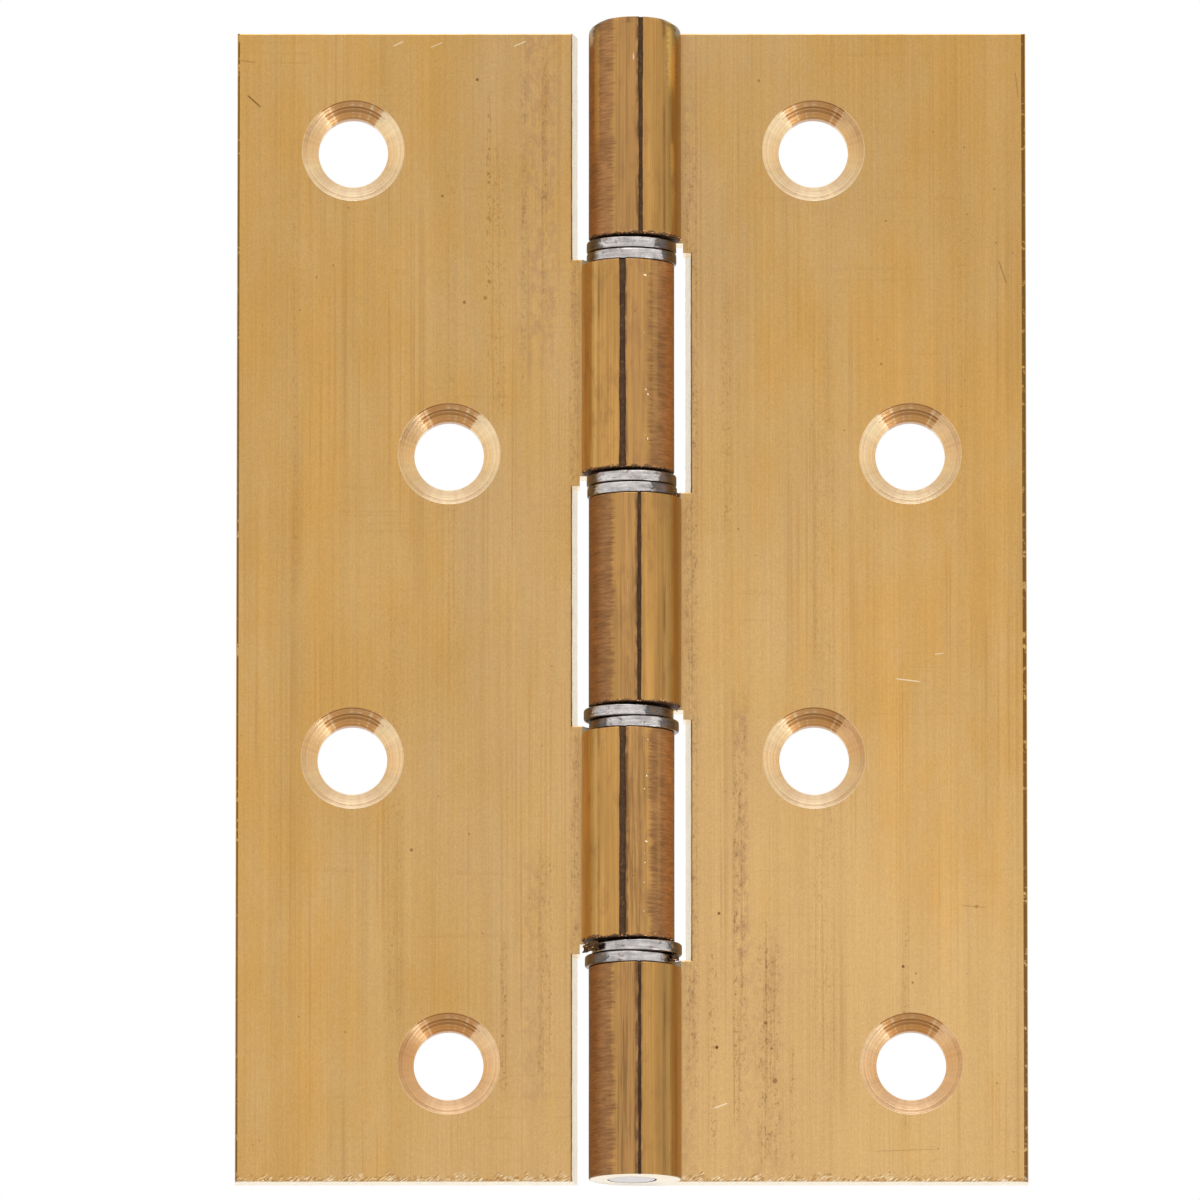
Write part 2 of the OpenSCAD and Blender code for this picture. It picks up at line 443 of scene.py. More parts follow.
def rolled_brass(name, finish, side, shift, seed, rims, rubs_and_highlights):
    """A knuckle: polished along the seam, linished crosswise on the side away from the leaf, with painted
    shade towards the leaf and painted highlights among its worn places.
    """
    s = Shading(name)
    arc = s.round_barrel(s.x * side - shift)
    sheet = s.joined(arc, 0.0, s.z)

    def grain(offset, across, along, detail, roughness=0.5):
        """Noise on the unrolled knuckle, in features a millimetre round the barrel and along it."""
        return s.noise((across, 1.0, along), seed + offset, detail, vector=sheet, roughness=roughness)

    fine = grain(0, 8.0, 0.05, 3)
    scuffs = grain(4, 0.9, 7.5, 4, 0.6)
    # The polished part, its colour, its lines, the stains beside the seam and painted shade towards the leaf.
    factor = s.varied((fine, 0.34), (grain(2, 1.3, 0.02, 2), 0.26), (grain(8, 0.9, 0.14, 3), 0.24))
    # Painted shade: towards the leaf the colour is painted darker on the frame's knuckles, and a little
    # lighter on the door's.
    factor = factor * s.ramp(arc, 1.2, 2.6, 1.0, 0.79 if side > 0 else 1.05)
    stripe = s.ramp(grain(12, 4.5, 0.05, 1), 0.62, 0.72)
    groove = s.ramp(abs(arc - 2.75), 0.22, 0.04) * s.ramp(grain(18, 0.6, 0.22, 3), 0.30, 0.70, 0.0, 0.55)
    mottle = s.ramp(grain(30, 0.8, 0.35, 5, 0.68), 0.50, 0.66)
    beside = s.ramp(arc, -2.1, -1.2) * s.ramp(arc, 0.45, 0.25)
    streaks = s.ramp(grain(28, 4.5, 0.12, 5, 0.65), 0.48, 0.62) * beside
    scuffed_ends = [(beside * s.ramp(abs(s.z), 12.0, 28.0, 0.0, 0.22), finish.scuffed)] if side > 0 else []
    polished = s.layered(
        s.scaled(s.mix(s.ramp(arc, 2.6, 3.4), finish.rolled, finish.rolled_crease), factor),
        (stripe * 0.25, finish.scuffed),
        (groove, finish.tarnish),
        (mottle * 0.38, finish.scuffed),
        (beside * 0.22, finish.bloom),
        *scuffed_ends,
        (streaks * s.ramp(s.z, 20.0, -40.0, 0.20, 0.48), finish.tarnish),
    )
    # The linished part and its ragged edge.
    factor = s.swing(scuffs, 1.02, 0.75) * s.swing(grain(6, 0.5, 0.45, 3), 1.0, 0.35)
    factor = factor * s.ramp(s.z, 15.0, 40.0, 1.0, 1.15)
    factor = factor * s.ramp(arc, -3.0, -4.2, 1.0, 1.0 if side > 0 else 1.4)
    gouges = s.ramp(grain(32, 1.6, 9.0, 4, 0.7), 0.58, 0.66) * s.ramp(s.z, 0.0, -30.0, 0.15, 0.55)
    rough = s.mix(gouges, s.scaled(finish.scuffed, factor), finish.tarnish)
    edge = arc + (s.swing(grain(9, 0.1, 0.5, 2), 0.0, 0.6) + s.swing(scuffs, 0.0, 0.5))
    linished = s.ramp(edge, -1.65, -2.3) * s.ramp(arc, -7.8, -6.8)
    # Dirt along the seam, specks, rubbed places and the torn lower rims.
    seam = s.ramp(abs(arc - s.ramp(s.z, 16.0, 8.0, 0.40, 0.28)), 0.46, 0.14)
    seam = seam * s.ramp(grain(14, 2.0, 0.9, 3), 0.30, 0.62)
    small_dots = s.specks(0.8, 0.07, 0.25, seed + 3) * s.ramp(s.z, -5.0, -35.0, 0.45, 1.0)
    dots = s.most(s.specks(1.7, 0.10, 0.20, seed) * 0.55, small_dots)
    layers = [(linished, rough), (seam * 0.75, finish.tarnish), (dots, finish.speck)]
    shades = {"gilt": finish.gilt, "pale": finish.cut, "dark": finish.tarnish}
    hairy = s.swing(grain(22, 1.2, 5.0, 4, 0.65), 0.0, 0.7)
    # Worn places; on the frame's top knuckle some of them are painted highlights on its worn, rounded
    # corners.
    for middle, half_width, low, high, strength, shade_name in rubs_and_highlights:
        near = s.ramp(abs(arc - middle) + hairy * half_width, half_width, 0.3 * half_width)
        inside = s.ramp(s.z, low, low + 0.35 * (high - low)) * s.ramp(s.z, high + 0.3, high - 0.2)
        layers.append((near * inside * strength, shades[shade_name]))
    torn = s.swing(grain(24, 1.5, 0.6, 4, 0.7), 0.0, 0.55)
    bits = s.ramp(grain(26, 4.0, 4.0, 2), 0.60, 0.66)
    for rim in rims:
        rise = s.z - rim
        above = rise > -0.2
        ragged = rise + torn
        layers.append((s.ramp(ragged, 0.20, 0.04) * above * 0.88, finish.grime))
        layers.append((s.ramp(ragged, 0.36, 0.22) * bits * above * 0.7, finish.copper))
    height = fine * 0.5 + scuffs * linished * 1.6
    return s.finish(s.layered(polished, *layers), s.swing(fine, 0.26, 0.05) + linished * 0.14, height, 0.010)


def grimed_metal(name, finish):
    """Old oil and brass dust inside the seams, the bores and the gaps."""
    s = Shading(name)
    blotch = s.noise((2.5, 2.5, 2.0), 3, 4)
    crumbs = s.ramp(s.noise((4.0, 4.0, 4.0), 5, 2), 0.58, 0.68)
    base = s.mix(crumbs * 0.65, s.scaled(finish.grime, s.swing(blotch, 1.0, 0.6)), finish.scuffed)
    return s.finish(base, s.swing(blotch, 0.6, 0.12), blotch, 0.03, metallic=0.2, specular=0.15)


def washer_steel(name, finish):
    """Stamped steel: fine lines round the edge, a painted highlight on the front of the rim with painted
    shade beyond it and on the rounded edges, and dark oil smudges.
    """
    s = Shading(name)
    sheet = s.joined(s.round_barrel(s.x), 0.0, s.z)
    lines = s.noise((0.5, 1.0, 10.0), 2, 3, vector=sheet)
    patches = s.noise((0.8, 1.0, 1.6), 6, 4, vector=sheet, roughness=0.65)
    smudges = s.noise((1.4, 1.0, 2.6), 9, 5, vector=sheet, roughness=0.7)
    # The stored zone is a painted highlight on the front of the rim; beyond it the rim is painted dark as
    # shade.
    rubbed = s.term("ShaderNodeAttribute", output="Fac", attribute_name="rubbed")
    beyond_highlight = s.ramp(rubbed + s.swing(smudges, 0.0, 1.6), 0.45, -0.15)
    # Painted shade on the rounded edges, where the normal turns up or down.
    flat = abs(s.split(s.term("ShaderNodeTexCoord", output="Normal"))[2])
    # The dark cover is oil smudges together with the painted shade of the sides and edges.
    oil = s.most(s.ramp(smudges, 0.56, 0.68, 0.0, 0.8), s.ramp(flat, 0.40, 0.80), beyond_highlight)
    oil_and_shade_colour = s.scaled(finish.steel, s.swing(lines, 0.15, 0.12))
    oil_and_shade_colour = s.mix(s.ramp(smudges, 0.46, 0.56), oil_and_shade_colour, finish.grime)
    shaded = s.scaled(finish.steel, s.swing(lines, 1.0, 0.5) * s.swing(patches, 0.95, 0.9))
    shaded = s.mix(oil * 0.92, shaded, oil_and_shade_colour)
    return s.finish(shaded, s.swing(patches, 0.22, 0.08), lines + patches, 0.015)


def pin_steel(name, finish):
    """The pin: sheared steel ends, oily along its length."""
    s = Shading(name)
    rings = s.noise((9.0, 1.0, 1.0), 3, 2, vector=s.joined(s.far(s.x, s.y), 0.0, 0.0))
    shear = s.noise((2.0, 0.4, 2.0), 7, 3)
    inside = abs(s.z) < PIN_HIGH.z / MM - 0.25
    shaded = s.scaled(finish.steel, s.swing(rings, 1.38, 0.12) * s.swing(shear, 1.0, 0.18))
    shaded = s.mix(inside, shaded, finish.grime)
    return s.finish(shaded, s.swing(shear, 0.36, 0.10), rings + shear, 0.02)


def bright_metal(name, shade):
    """Burrs, nicks and chips of torn metal."""
    s = Shading(name)
    glint = s.noise((6.0, 6.0, 6.0), 3, 2)
    shaded = s.scaled(shade, s.swing(glint, 1.05, 0.18))
    return s.finish(shaded, s.swing(glint, 0.28, 0.08), glint, 0.01)


# ---------------------------------------------------------------- mesh building


def wobble(x, y, z, seed):
    """Smooth noise from -1 to 1 at a place in millimetres."""
    return noise.noise(Vector((x + seed * 13.7, y - seed * 4.1, z + seed * 7.9)))


def new_piece(name, mesh, materials):
    """An object at the origin with these materials."""
    piece = bpy.data.objects.new(name, mesh)
    bpy.context.scene.collection.objects.link(piece)
    for material in materials:
        mesh.materials.append(material)
    return piece


def mesh_from(name, built):
    """A mesh with merged doubles and outward normals."""
    bmesh.ops.remove_doubles(built, verts=built.verts, dist=1e-7)
    bmesh.ops.recalc_face_normals(built, faces=built.faces)
    mesh = bpy.data.meshes.new(name)
    built.to_mesh(mesh)
    built.free()
    return mesh


def shade(mesh, angle):
    """Smooth shading that stops at edges sharper than an angle in degrees."""
    mesh.polygons.foreach_set("use_smooth", [True] * len(mesh.polygons))
    mesh.set_sharp_from_angle(angle=math.radians(angle))


def evaluated_mesh(piece):
    """A plain mesh of what an object's modifiers make."""
    bpy.context.view_layer.update()
    graph = bpy.context.evaluated_depsgraph_get()
    mesh = bpy.data.meshes.new_from_object(piece.evaluated_get(graph), depsgraph=graph)
    if not mesh.polygons:
        raise RuntimeError(f"{piece.name} came out empty")
    return mesh


def combine(piece, tool, operation):
    """Joins a tool solid to a piece, or cuts it out of the piece."""
    modifier = piece.modifiers.new("Combine", "BOOLEAN")
    modifier.operation = operation
    modifier.solver = "EXACT"
    modifier.object = tool
    mesh = evaluated_mesh(piece)
    piece.modifiers.clear()
    spent = (piece.data, tool.data)
    piece.data = mesh
    bpy.data.objects.remove(tool)
    for old in spent:
        bpy.data.meshes.remove(old)


def ring_of(built, places):
    return [built.verts.new(place) for place in places]


def bridge(built, lower, upper, material):
    """Quads between two closed loops of vertices. material is one index or one for each quad."""
    count = len(lower)
    for i in range(count):
        j = (i + 1) % count
        face = built.faces.new((lower[i], lower[j], upper[j], upper[i]))
        face.material_index = material[i] if isinstance(material, list) else material


def prism(built, sections, material):
    """A closed bar between two rings of (x, y, z) places."""
    rings = [ring_of(built, places) for places in sections]
    bridge(built, *rings, material)
    for ring in rings:
        built.faces.new(ring).material_index = material


def ring_points(x, z, radius, count=96):
    """Points round a circle on the face."""
    turns = (2 * math.pi * i / count for i in range(count))
    return [(x + radius * math.cos(a), z + radius * math.sin(a)) for a in turns]


# ---------------------------------------------------------------- leaves

# Material slots of a leaf, in order.
FACE, CUT, TURNED, ROLLED, GRIME = range(5)

# Sizes in millimetres that go with the rolled strip's own make.
WASHER_PLAY = 0.22
ROOM_R = 4.5
ROOM_SQUARED_TO = 4.45
TONGUE_END = 2.4
TAIL_END = 3.0
TOP_TAIL_END = 3.9
KNUCKLE_BEVEL = 0.1
TOP_WEAR = 1.0
SEAM_LIP = 0.07
HOLE_LIP = 0.02
OUTLINE_STEP = 0.6
KNUCKLE_STEP = 0.3

# How far its edges and surfaces stray from true, in millimetres.
BORE_DRIFT = 0.04
DRAWN_RAGGED = 0.006
SHEARED_RAGGED = 0.03
ROLLED_WAVES = 0.010
CUTTER_GROOVE = 0.006
CUTTER_CHATTER = 0.008

# For each knuckle from the top, its seam's width over the mean width, and how far off its usual
# place the seam lies.
SEAM_SPREAD = (0.95, 1.45, 0.75, 1.5, 0.6)
SEAM_DRIFT = (0.0, 0.0, -0.12, 0.0, -0.10)

# How a sharp edge is rounded: (share of the bevel's height, share of its depth) from the edge inwards.
ROUNDING = ((0.0, 1.0), (0.12, 0.62), (0.35, 0.25), (0.65, 0.06), (1.0, 0.0))


class LeafPlan:
    """Where everything lies on one leaf, in millimetres, with the leaf towards +X."""

    def __init__(self, side):
        sizes = bpy.context.scene.hinge_sizes
        self.own = [0, 2, 4] if side > 0 else [1, 3]
        self.low = FRAME_LOW.z / MM
        self.high = DOOR_HIGH.z / MM
        self.barrel_high = FRAME_HIGH.z / MM
        self.back = FRAME_HIGH.y / MM
        self.front = self.back - sizes.leaf_thickness / MM
        self.thickness = self.back - self.front
        self.width = FRAME_HIGH.x / MM
        self.radius = -FRAME_LOW.y / MM
        for key in ("slot_front", "seam_width", "seam_depth", "seam_offset", "root_gap", "edge", "bevel"):
            setattr(self, key, getattr(sizes, key) / MM)
        self.shift = sizes.knuckle_shift / MM
        self.slot_back = (sizes.slot_front - sizes.slot_slope) / MM
        self.countersink_r = sizes.countersink / MM / 2
        self.bore_r = PIN_HIGH.x / MM + sizes.bore_slack / MM
        self.gaps = gap_spans()
        self.holes = screw_holes(side)

    def root(self, i):
        """The lower and upper end of a knuckle's root, where the strip leaves the plate."""
        top = self.high if i == 0 else sum(self.gaps[i - 1]) / 2 - self.root_gap / 2
        bottom = self.low if i == GAPS else sum(self.gaps[i]) / 2 + self.root_gap / 2
        return bottom, top

    def knuckle(self, i):
        """The lower and upper end of a knuckle."""
        top = self.barrel_high if i == 0 else self.gaps[i - 1][0]
        bottom = self.low if i == GAPS else self.gaps[i][1]
        return bottom, top

    def free(self, a, b):
        """Whether a step of the outline runs along the leaf's free edge."""
        return a[0] == self.width and b[0] == self.width


def gap_spans():
    """The lower and upper end of each gap in the barrel, from the top, in millimetres."""
    spans = []
    for i in range(1, GAPS + 1):
        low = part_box(f"washer_{i}_lower")[0].z / MM
        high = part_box(f"washer_{i}_upper")[1].z / MM + WASHER_PLAY
        spans.append((low, high))
    return spans


def screw_holes(side):
    """(x, z, radius) of each screw hole on that side's leaf, mirrored to +X, from the record's mounts."""
    holes = []
    for mount in frame["record"]["mounts"]:
        if mount["kind"] == "bolt_pattern" and mount["pos_m"][0] * side > 0:
            x, _, z = mount["pos_m"]
            reach = mount["dims"]["spacing_y_mm"] / 2
            for way in (-1, 1):
                holes.append((abs(x) / MM, z / MM + way * reach, mount["dims"]["hole_r_mm"]))
    return holes


def outline(plan):
    """The corners of a leaf's plate going round, as ((x at the front, x at the back), z)."""
    slot = (plan.slot_front, plan.slot_back)
    tongue = (TONGUE_END, TONGUE_END)
    corners = [((plan.width, plan.width), plan.low), ((plan.width, plan.width), plan.high)]
    if 0 not in plan.own:
        corners.append((slot, plan.high))
    for i in plan.own:
        bottom, top = plan.root(i)
        if i > 0:
            corners.append((slot, top))
        corners += [(tongue, top), (tongue, bottom)]
        if i < GAPS:
            corners.append((slot, bottom))
    if GAPS not in plan.own:
        corners.append((slot, plan.low))
    return corners


def steps_round(loop):
    """Each point of a closed loop with the next one."""
    return zip(loop, loop[1:] + loop[:1])


def inset_corners(plan, corners, depth, inset, outer_inset):
    """The outline's corners at a share of the depth from front to back, moved inwards."""
    placed = [(front + (back - front) * depth, z) for (front, back), z in corners]
    moved = []
    for i, (x, z) in enumerate(placed):
        shift_x = 0.0
        shift_z = 0.0
        for a, b in ((placed[i - 1], placed[i]), (placed[i], placed[(i + 1) % len(placed)])):
            along_x = b[0] - a[0]
            along_z = b[1] - a[1]
            length = math.hypot(along_x, along_z)
            amount = outer_inset if plan.free(a, b) else inset
            shift_x += -along_z / length * amount
            shift_z += along_x / length * amount
        moved.append((x + shift_x, z + shift_z))
    return moved


def step_count(a, b):
    return max(2, round(math.hypot(b[0] - a[0], b[1] - a[1]) / OUTLINE_STEP))


def plate_loop(plan, base, placed, ragged):
    """Points along an inset outline, with a little raggedness on the cut edges."""
    points = []
    for (base_a, base_b), ((ax, az), (bx, bz)) in zip(steps_round(base), steps_round(placed)):
        steps = step_count(base_a, base_b)
        reach = DRAWN_RAGGED if plan.free(base_a, base_b) else SHEARED_RAGGED
        normal_x = -(bz - az)
        normal_z = bx - ax
        scale = math.hypot(normal_x, normal_z)
        for k in range(steps):
            t = k / steps
            x = ax + (bx - ax) * t
            z = az + (bz - az) * t
            rough = ragged * reach * (1 + wobble(x * 1.7, 0, z * 1.7, plan.shift + len(plan.own)))
            points.append((x + normal_x / scale * rough, z + normal_z / scale * rough))
    return points


def side_materials(plan, base):
    """The material of each step along the outline."""
    indices = []
    for a, b in steps_round(base):
        indices += [FACE if plan.free(a, b) else CUT] * step_count(a, b)
    return indices


def inside_outline(point, loop):
    """Whether a point lies inside a closed loop."""
    x, z = point
    inside = False
    for (ax, az), (bx, bz) in steps_round(loop):
        if (az > z) != (bz > z) and x < (bx - ax) * (z - az) / (bz - az) + ax:
            inside = not inside
    return inside


def cap(built, loops, y):
    """Fills a face of the plate between its outline and its holes. Returns the loops' vertices."""
    verts = []
    edges = []
    split = []
    for loop in loops:
        start = len(verts)
        count = len(loop)
        edges += [(start + i, start + (i + 1) % count) for i in range(count)]
        split.append(ring_of(built, [(x, y, z) for x, z in loop]))
        verts += split[-1]
    flat = [Vector(point) for loop in loops for point in loop]
    places, _, faces, sources, *_ = delaunay_2d_cdt(flat, edges, [], 0, 1e-6)
    outer, *holes = loops
    for face in faces:
        middle = sum((places[i] for i in face), Vector((0, 0))) / len(face)
        if inside_outline(middle, outer) and not any(inside_outline(middle, hole) for hole in holes):
            built.faces.new([verts[sources[i][0]] for i in face]).material_index = FACE
    return split


def leaf_plate(plan):
    """The plate with its bevelled edges and countersunk holes."""
    built = bmesh.new()
    corners = outline(plan)
    base = inset_corners(plan, corners, 0, 0, 0)
    thickness = plan.thickness
    edge = plan.edge
    bevel = plan.bevel
    # Each level is the depth behind the front face, the inset, the free edge's inset and the raggedness.
    levels = [
        (0.0, edge, bevel, 0.4),
        (0.35 * edge, 0.3 * edge, 0.8 * bevel, 0.8),
        (edge, 0.0, 0.5 * bevel, 1.0),
        (bevel, 0.0, 0.0, 1.0),
        (0.5 * thickness, 0.0, 0.0, 0.6),
        (thickness - bevel, 0.0, 0.0, 1.0),
        (thickness - edge, 0.0, 0.5 * bevel, 1.0),
        (thickness - 0.35 * edge, 0.3 * edge, 0.8 * bevel, 0.8),
        (thickness, edge, bevel, 0.4),
    ]
    rings = []
    for depth, inset, outer_inset, ragged in levels:
        placed = inset_corners(plan, corners, depth / thickness, inset, outer_inset)
        rings.append(plate_loop(plan, base, placed, ragged))
    cone = countersink_profile(plan)
    front, back = (
        cap(built, [ring] + [ring_points(x, z, radius) for x, z, _ in plan.holes], y)
        for ring, (radius, _), y in ((rings[0], cone[0], plan.front), (rings[-1], cone[-1], plan.back))
    )
    materials = side_materials(plan, base)
    previous = front[0]
    for (depth, *_), ring in zip(levels[1:-1], rings[1:-1]):
        current = ring_of(built, [(x, plan.front + depth, z) for x, z in ring])
        bridge(built, previous, current, FACE if depth < 0.5 * edge else materials)
        previous = current
    bridge(built, previous, back[0], materials)
    for number, (x, z, _) in enumerate(plan.holes):
        previous = front[number + 1]
        for radius, depth in cone[1:-1]:
            points = turned_ring(x, z, radius, depth, number)
            current = ring_of(built, [(px, plan.front + depth, pz) for px, pz in points])
            bridge(built, previous, current, TURNED)
            previous = current
        bridge(built, previous, back[number + 1], TURNED)
    return mesh_from("leaf_plate", built)


def countersink_profile(plan):
    """(radius, depth) down a countersunk hole, from the front face to the back face."""
    wide = plan.countersink_r
    narrow = plan.holes[0][2]
    lip = HOLE_LIP
    deep = wide - narrow
    profile = [(wide + lip, 0.0), (wide, 0.3 * lip)]
    rings = 16
    for k in range(rings + 1):
        t = k / rings
        groove = CUTTER_GROOVE * wobble(k * 0.8, 0, 0, 5)
        profile.append((wide - 0.4 * lip - (deep - 0.4 * lip) * t + groove, lip + (deep - lip) * t))
    profile += [(narrow, deep + lip), (narrow, plan.thickness - lip)]
    profile += [(narrow + 0.3 * lip, plan.thickness - 0.3 * lip), (narrow + lip, plan.thickness)]
    return profile


def turned_ring(x, z, radius, depth, seed):
    """One ring of a countersink, a little out of round where the cutter chattered."""
    points = []
    for px, pz in ring_points(0, 0, radius):
        grow = 1 + CUTTER_CHATTER * wobble(px * 0.9, depth * 2, pz * 0.9, seed + 3) / radius
        points.append((x + px * grow, z + pz * grow))
    return points


def knuckle_section(plan, i, z, inset, side_inset):
    """A knuckle's solid section at a height: (x, y) points and the material of the step after each."""
    seed = i * 3 + len(plan.own)
    c = plan.shift
    half = plan.seam_width / 2 * SEAM_SPREAD[i] * (1.0 + 0.3 * wobble(0, 0, z * 0.25, seed))
    middle = plan.seam_offset + SEAM_DRIFT[i]
    right = middle + half + 0.03 * wobble(0, 1, z * 0.8, seed) + 0.03 * wobble(0, 1, z * 3.1, seed)
    left = middle - half + 0.05 * wobble(0, 2, z * 0.6, seed + 5) + 0.04 * wobble(0, 2, z * 2.7, seed)
    right = max(right, left + 0.08)
    depth = plan.seam_depth * (1.0 + 0.5 * wobble(0, 3, z * 0.9, seed))
    lip = SEAM_LIP

    def radius(turn):
        cut = inset + side_inset * abs(math.cos(turn)) ** 2
        return plan.radius - cut + ROLLED_WAVES * (wobble(turn * 1.4, 0, z * 0.12, seed + 9) - 1)

    def rolled(start, end, steps):
        """Points along the rolled outside, from one turn to another."""
        turns = (start + (end - start) * k / steps for k in range(steps + 1))
        return [(c + radius(a) * math.cos(a), radius(a) * math.sin(a), ROLLED) for a in turns]

    r = radius(-0.5 * math.pi)
    tail_front = plan.front + 0.02
    tail_back = plan.back - 0.01
    # The top root is longer, because no washer room is cut beside it.
    tail_x = TOP_TAIL_END if z > plan.high - 1.0 else TAIL_END
    seam_right = -math.acos((right + lip) / r)
    seam_left = -math.acos((left - lip) / r)
    surface = -math.sqrt(r * r - right * right)
    floor = surface + max(depth, lip + 0.02)
    seam = [
        (c + right + 0.3 * lip, surface + 0.3 * lip),
        (c + right, surface + lip),
        (c + right, floor),
        (c + left, floor),
        (c + left, surface + lip),
        (c + left - 0.3 * lip, surface + 0.3 * lip),
    ]
    return [
        (tail_x, tail_front, ROLLED),
        *rolled(math.asin(tail_front / r), seam_right, 30),
        *((x, y, GRIME) for x, y in seam),
        *rolled(seam_left, -1.5 * math.pi, 76),
        (tail_x, tail_back, ROLLED),
    ]


def rolled_knuckle(built, plan, i):
    """Adds one rolled knuckle to a bmesh, with its ends bevelled and the top one's sides worn down."""
    bottom, top = plan.knuckle(i)
    bevel = KNUCKLE_BEVEL
    worn = TOP_WEAR if i == 0 else 0.0
    levels = [(bottom + bevel * rise, bevel * cut, 0.0) for rise, cut in ROUNDING]
    if worn:
        levels += [(top - worn * rise, 0.25 * bevel * cut, worn * cut) for rise, cut in ROUNDING]
    else:
        levels += [(top - bevel * rise, bevel * cut, 0.0) for rise, cut in ROUNDING]
    low = bottom + bevel
    high = top - max(bevel, worn)
    steps = round((high - low) / KNUCKLE_STEP)
    levels += [(low + (high - low) * k / steps, 0.0, 0.0) for k in range(1, steps)]
    rings = []
    for z, inset, side_inset in sorted(levels):
        section = knuckle_section(plan, i, z, inset, side_inset)
        rings.append(ring_of(built, [(x, y, z) for x, y, _ in section]))
        if len(rings) > 1:
            bridge(built, rings[-2], rings[-1], [material for _, _, material in section])
    built.faces.new(rings[0]).material_index = CUT if i == GAPS else GRIME
    built.faces.new(rings[-1]).material_index = CUT if i == 0 else GRIME


def bore(plan):
    """A bar as wide as the bore, to cut out of the knuckles."""
    built = bmesh.new()
    circle = ring_points(BORE_DRIFT, 0, plan.bore_r, 64)
    ends = (plan.low - 1.0, plan.barrel_high + 1.0)
    prism(built, [[(x, y, z) for x, y in circle] for z in ends], GRIME)
    return mesh_from("bore", built)


def washer_rooms(plan):
    """What to cut out of the roots in each gap: a disc, squared off where the leaf's own knuckle is above."""
    built = bmesh.new()
    clear = 0.01
    front = plan.front - 0.1
    behind = plan.back + 1.0
    start = math.asin(front / ROOM_R)
    count = 72
    disc = ring_points(0, 0, ROOM_R)
    squared = [(ROOM_SQUARED_TO, front), (ROOM_SQUARED_TO, behind), (0.0, behind)]
    for k in range(count + 1):
        turn = math.pi / 2 + (1.5 * math.pi + start) * k / count
        squared.append((ROOM_R * math.cos(turn), ROOM_R * math.sin(turn)))
    for i, (low, high) in enumerate(plan.gaps):
        section = squared if i in plan.own else disc
        prism(built, [[(x, y, z) for x, y in section] for z in (low - clear, high + clear)], CUT)
    return mesh_from("washer_rooms", built)


def store(mesh, name, kind, key, values):
    """Stores a value for each vertex, for a material to read."""
    mesh.attributes.new(name, kind, "POINT").data.foreach_set(key, values)


def store_turning(mesh, plan):
    """Stores each vertex's place relative to the nearest screw hole, for the turned rings."""
    values = []
    for vertex in mesh.vertices:
        x, y, z = vertex.co / MM
        near = min(plan.holes, key=lambda hole: (hole[0] - x) ** 2 + (hole[1] - z) ** 2)
        values += [(x - near[0]) * MM, y * MM, (z - near[1]) * MM]
    store(mesh, "turning", "FLOAT_VECTOR", "vector", values)


def store_highlight_zone(mesh, start, end):
    """Stores how far inside the painted highlight each vertex of a washer lies, in millimetres round the rim.
    """
    arcs = [BARREL_R * math.atan2(vertex.co.x, -vertex.co.y) for vertex in mesh.vertices]
    store(mesh, "rubbed", "FLOAT", "value", [min(arc - start, end - arc) for arc in arcs])


def build_leaf(name, side, materials):
    """One whole leaf as a single closed mesh, in metres, on its own side."""
    plan = LeafPlan(side)
    leaf = new_piece(name, leaf_plate(plan), materials)
    combine(leaf, new_piece("rooms", washer_rooms(plan), materials), "DIFFERENCE")
    built = bmesh.new()
    for i in plan.own:
        rolled_knuckle(built, plan, i)
    bmesh.ops.triangulate(built, faces=[f for f in built.faces if len(f.verts) > 4])
    combine(leaf, new_piece("knuckles", mesh_from("knuckles", built), materials), "UNION")
    combine(leaf, new_piece("bore", bore(plan), materials), "DIFFERENCE")
    built = bmesh.new()
    built.from_mesh(leaf.data)
    bmesh.ops.remove_doubles(built, verts=built.verts, dist=1e-5)
    bmesh.ops.dissolve_degenerate(built, edges=built.edges, dist=1e-6)
    for vertex in built.verts:
        vertex.co *= MM
    built.to_mesh(leaf.data)
    built.free()
    store_turning(leaf.data, plan)
    if side < 0:
        mirror(leaf.data)
    shade(leaf.data, 22)
    flatten(leaf.data)
    return leaf


def flatten(mesh):
    """Flat shading on the broad faces, so that the roundings beside them don't bend their light."""
    for face in mesh.polygons:
        if face.material_index == FACE and abs(face.normal.y) > 0.9999:
            face.use_smooth = False


def mirror(mesh):
    """Turns a leaf's mesh over to the other side of the pin, with its faces still outwards."""
    for vertex in mesh.vertices:
        vertex.co.x = -vertex.co.x
    mesh.flip_normals()


# ---------------------------------------------------------------- geometry nodes


class Tree(Nodes):
    """A geometry node tree with named inputs, each (name, kind of socket, value)."""

    def __init__(self, name, *inputs):
        super().__init__(bpy.data.node_groups.new(name, "GeometryNodeTree"))
        self.keys = {}
        for label, kind, value in inputs:
            socket = self.tree.interface.new_socket(label, in_out="INPUT", socket_type="NodeSocket" + kind)
            if value is not None:
                socket.default_value = value
            self.keys[label] = socket.identifier
        self.tree.interface.new_socket("Geometry", in_out="OUTPUT", socket_type="NodeSocketGeometry")
        self.source = self.node("NodeGroupInput")

    def __getitem__(self, label):
        """One of the tree's own inputs."""
        return self.out(self.source, label)

    def moved(self, geometry, offset):
        return self.term("GeometryNodeSetPosition", {"Geometry": geometry, "Offset": offset})

    def shifted(self, geometry, place):
        return self.term("GeometryNodeTransform", {"Geometry": geometry, "Translation": place})

    def close(self, geometry):
        """Ends the tree in Realize Instances and Set Material."""
        real = self.term("GeometryNodeRealizeInstances", {"Geometry": geometry})
        made = self.term("GeometryNodeSetMaterial", {"Geometry": real, "Material": self["Material"]})
        self.node("NodeGroupOutput", {0: made})
        return self


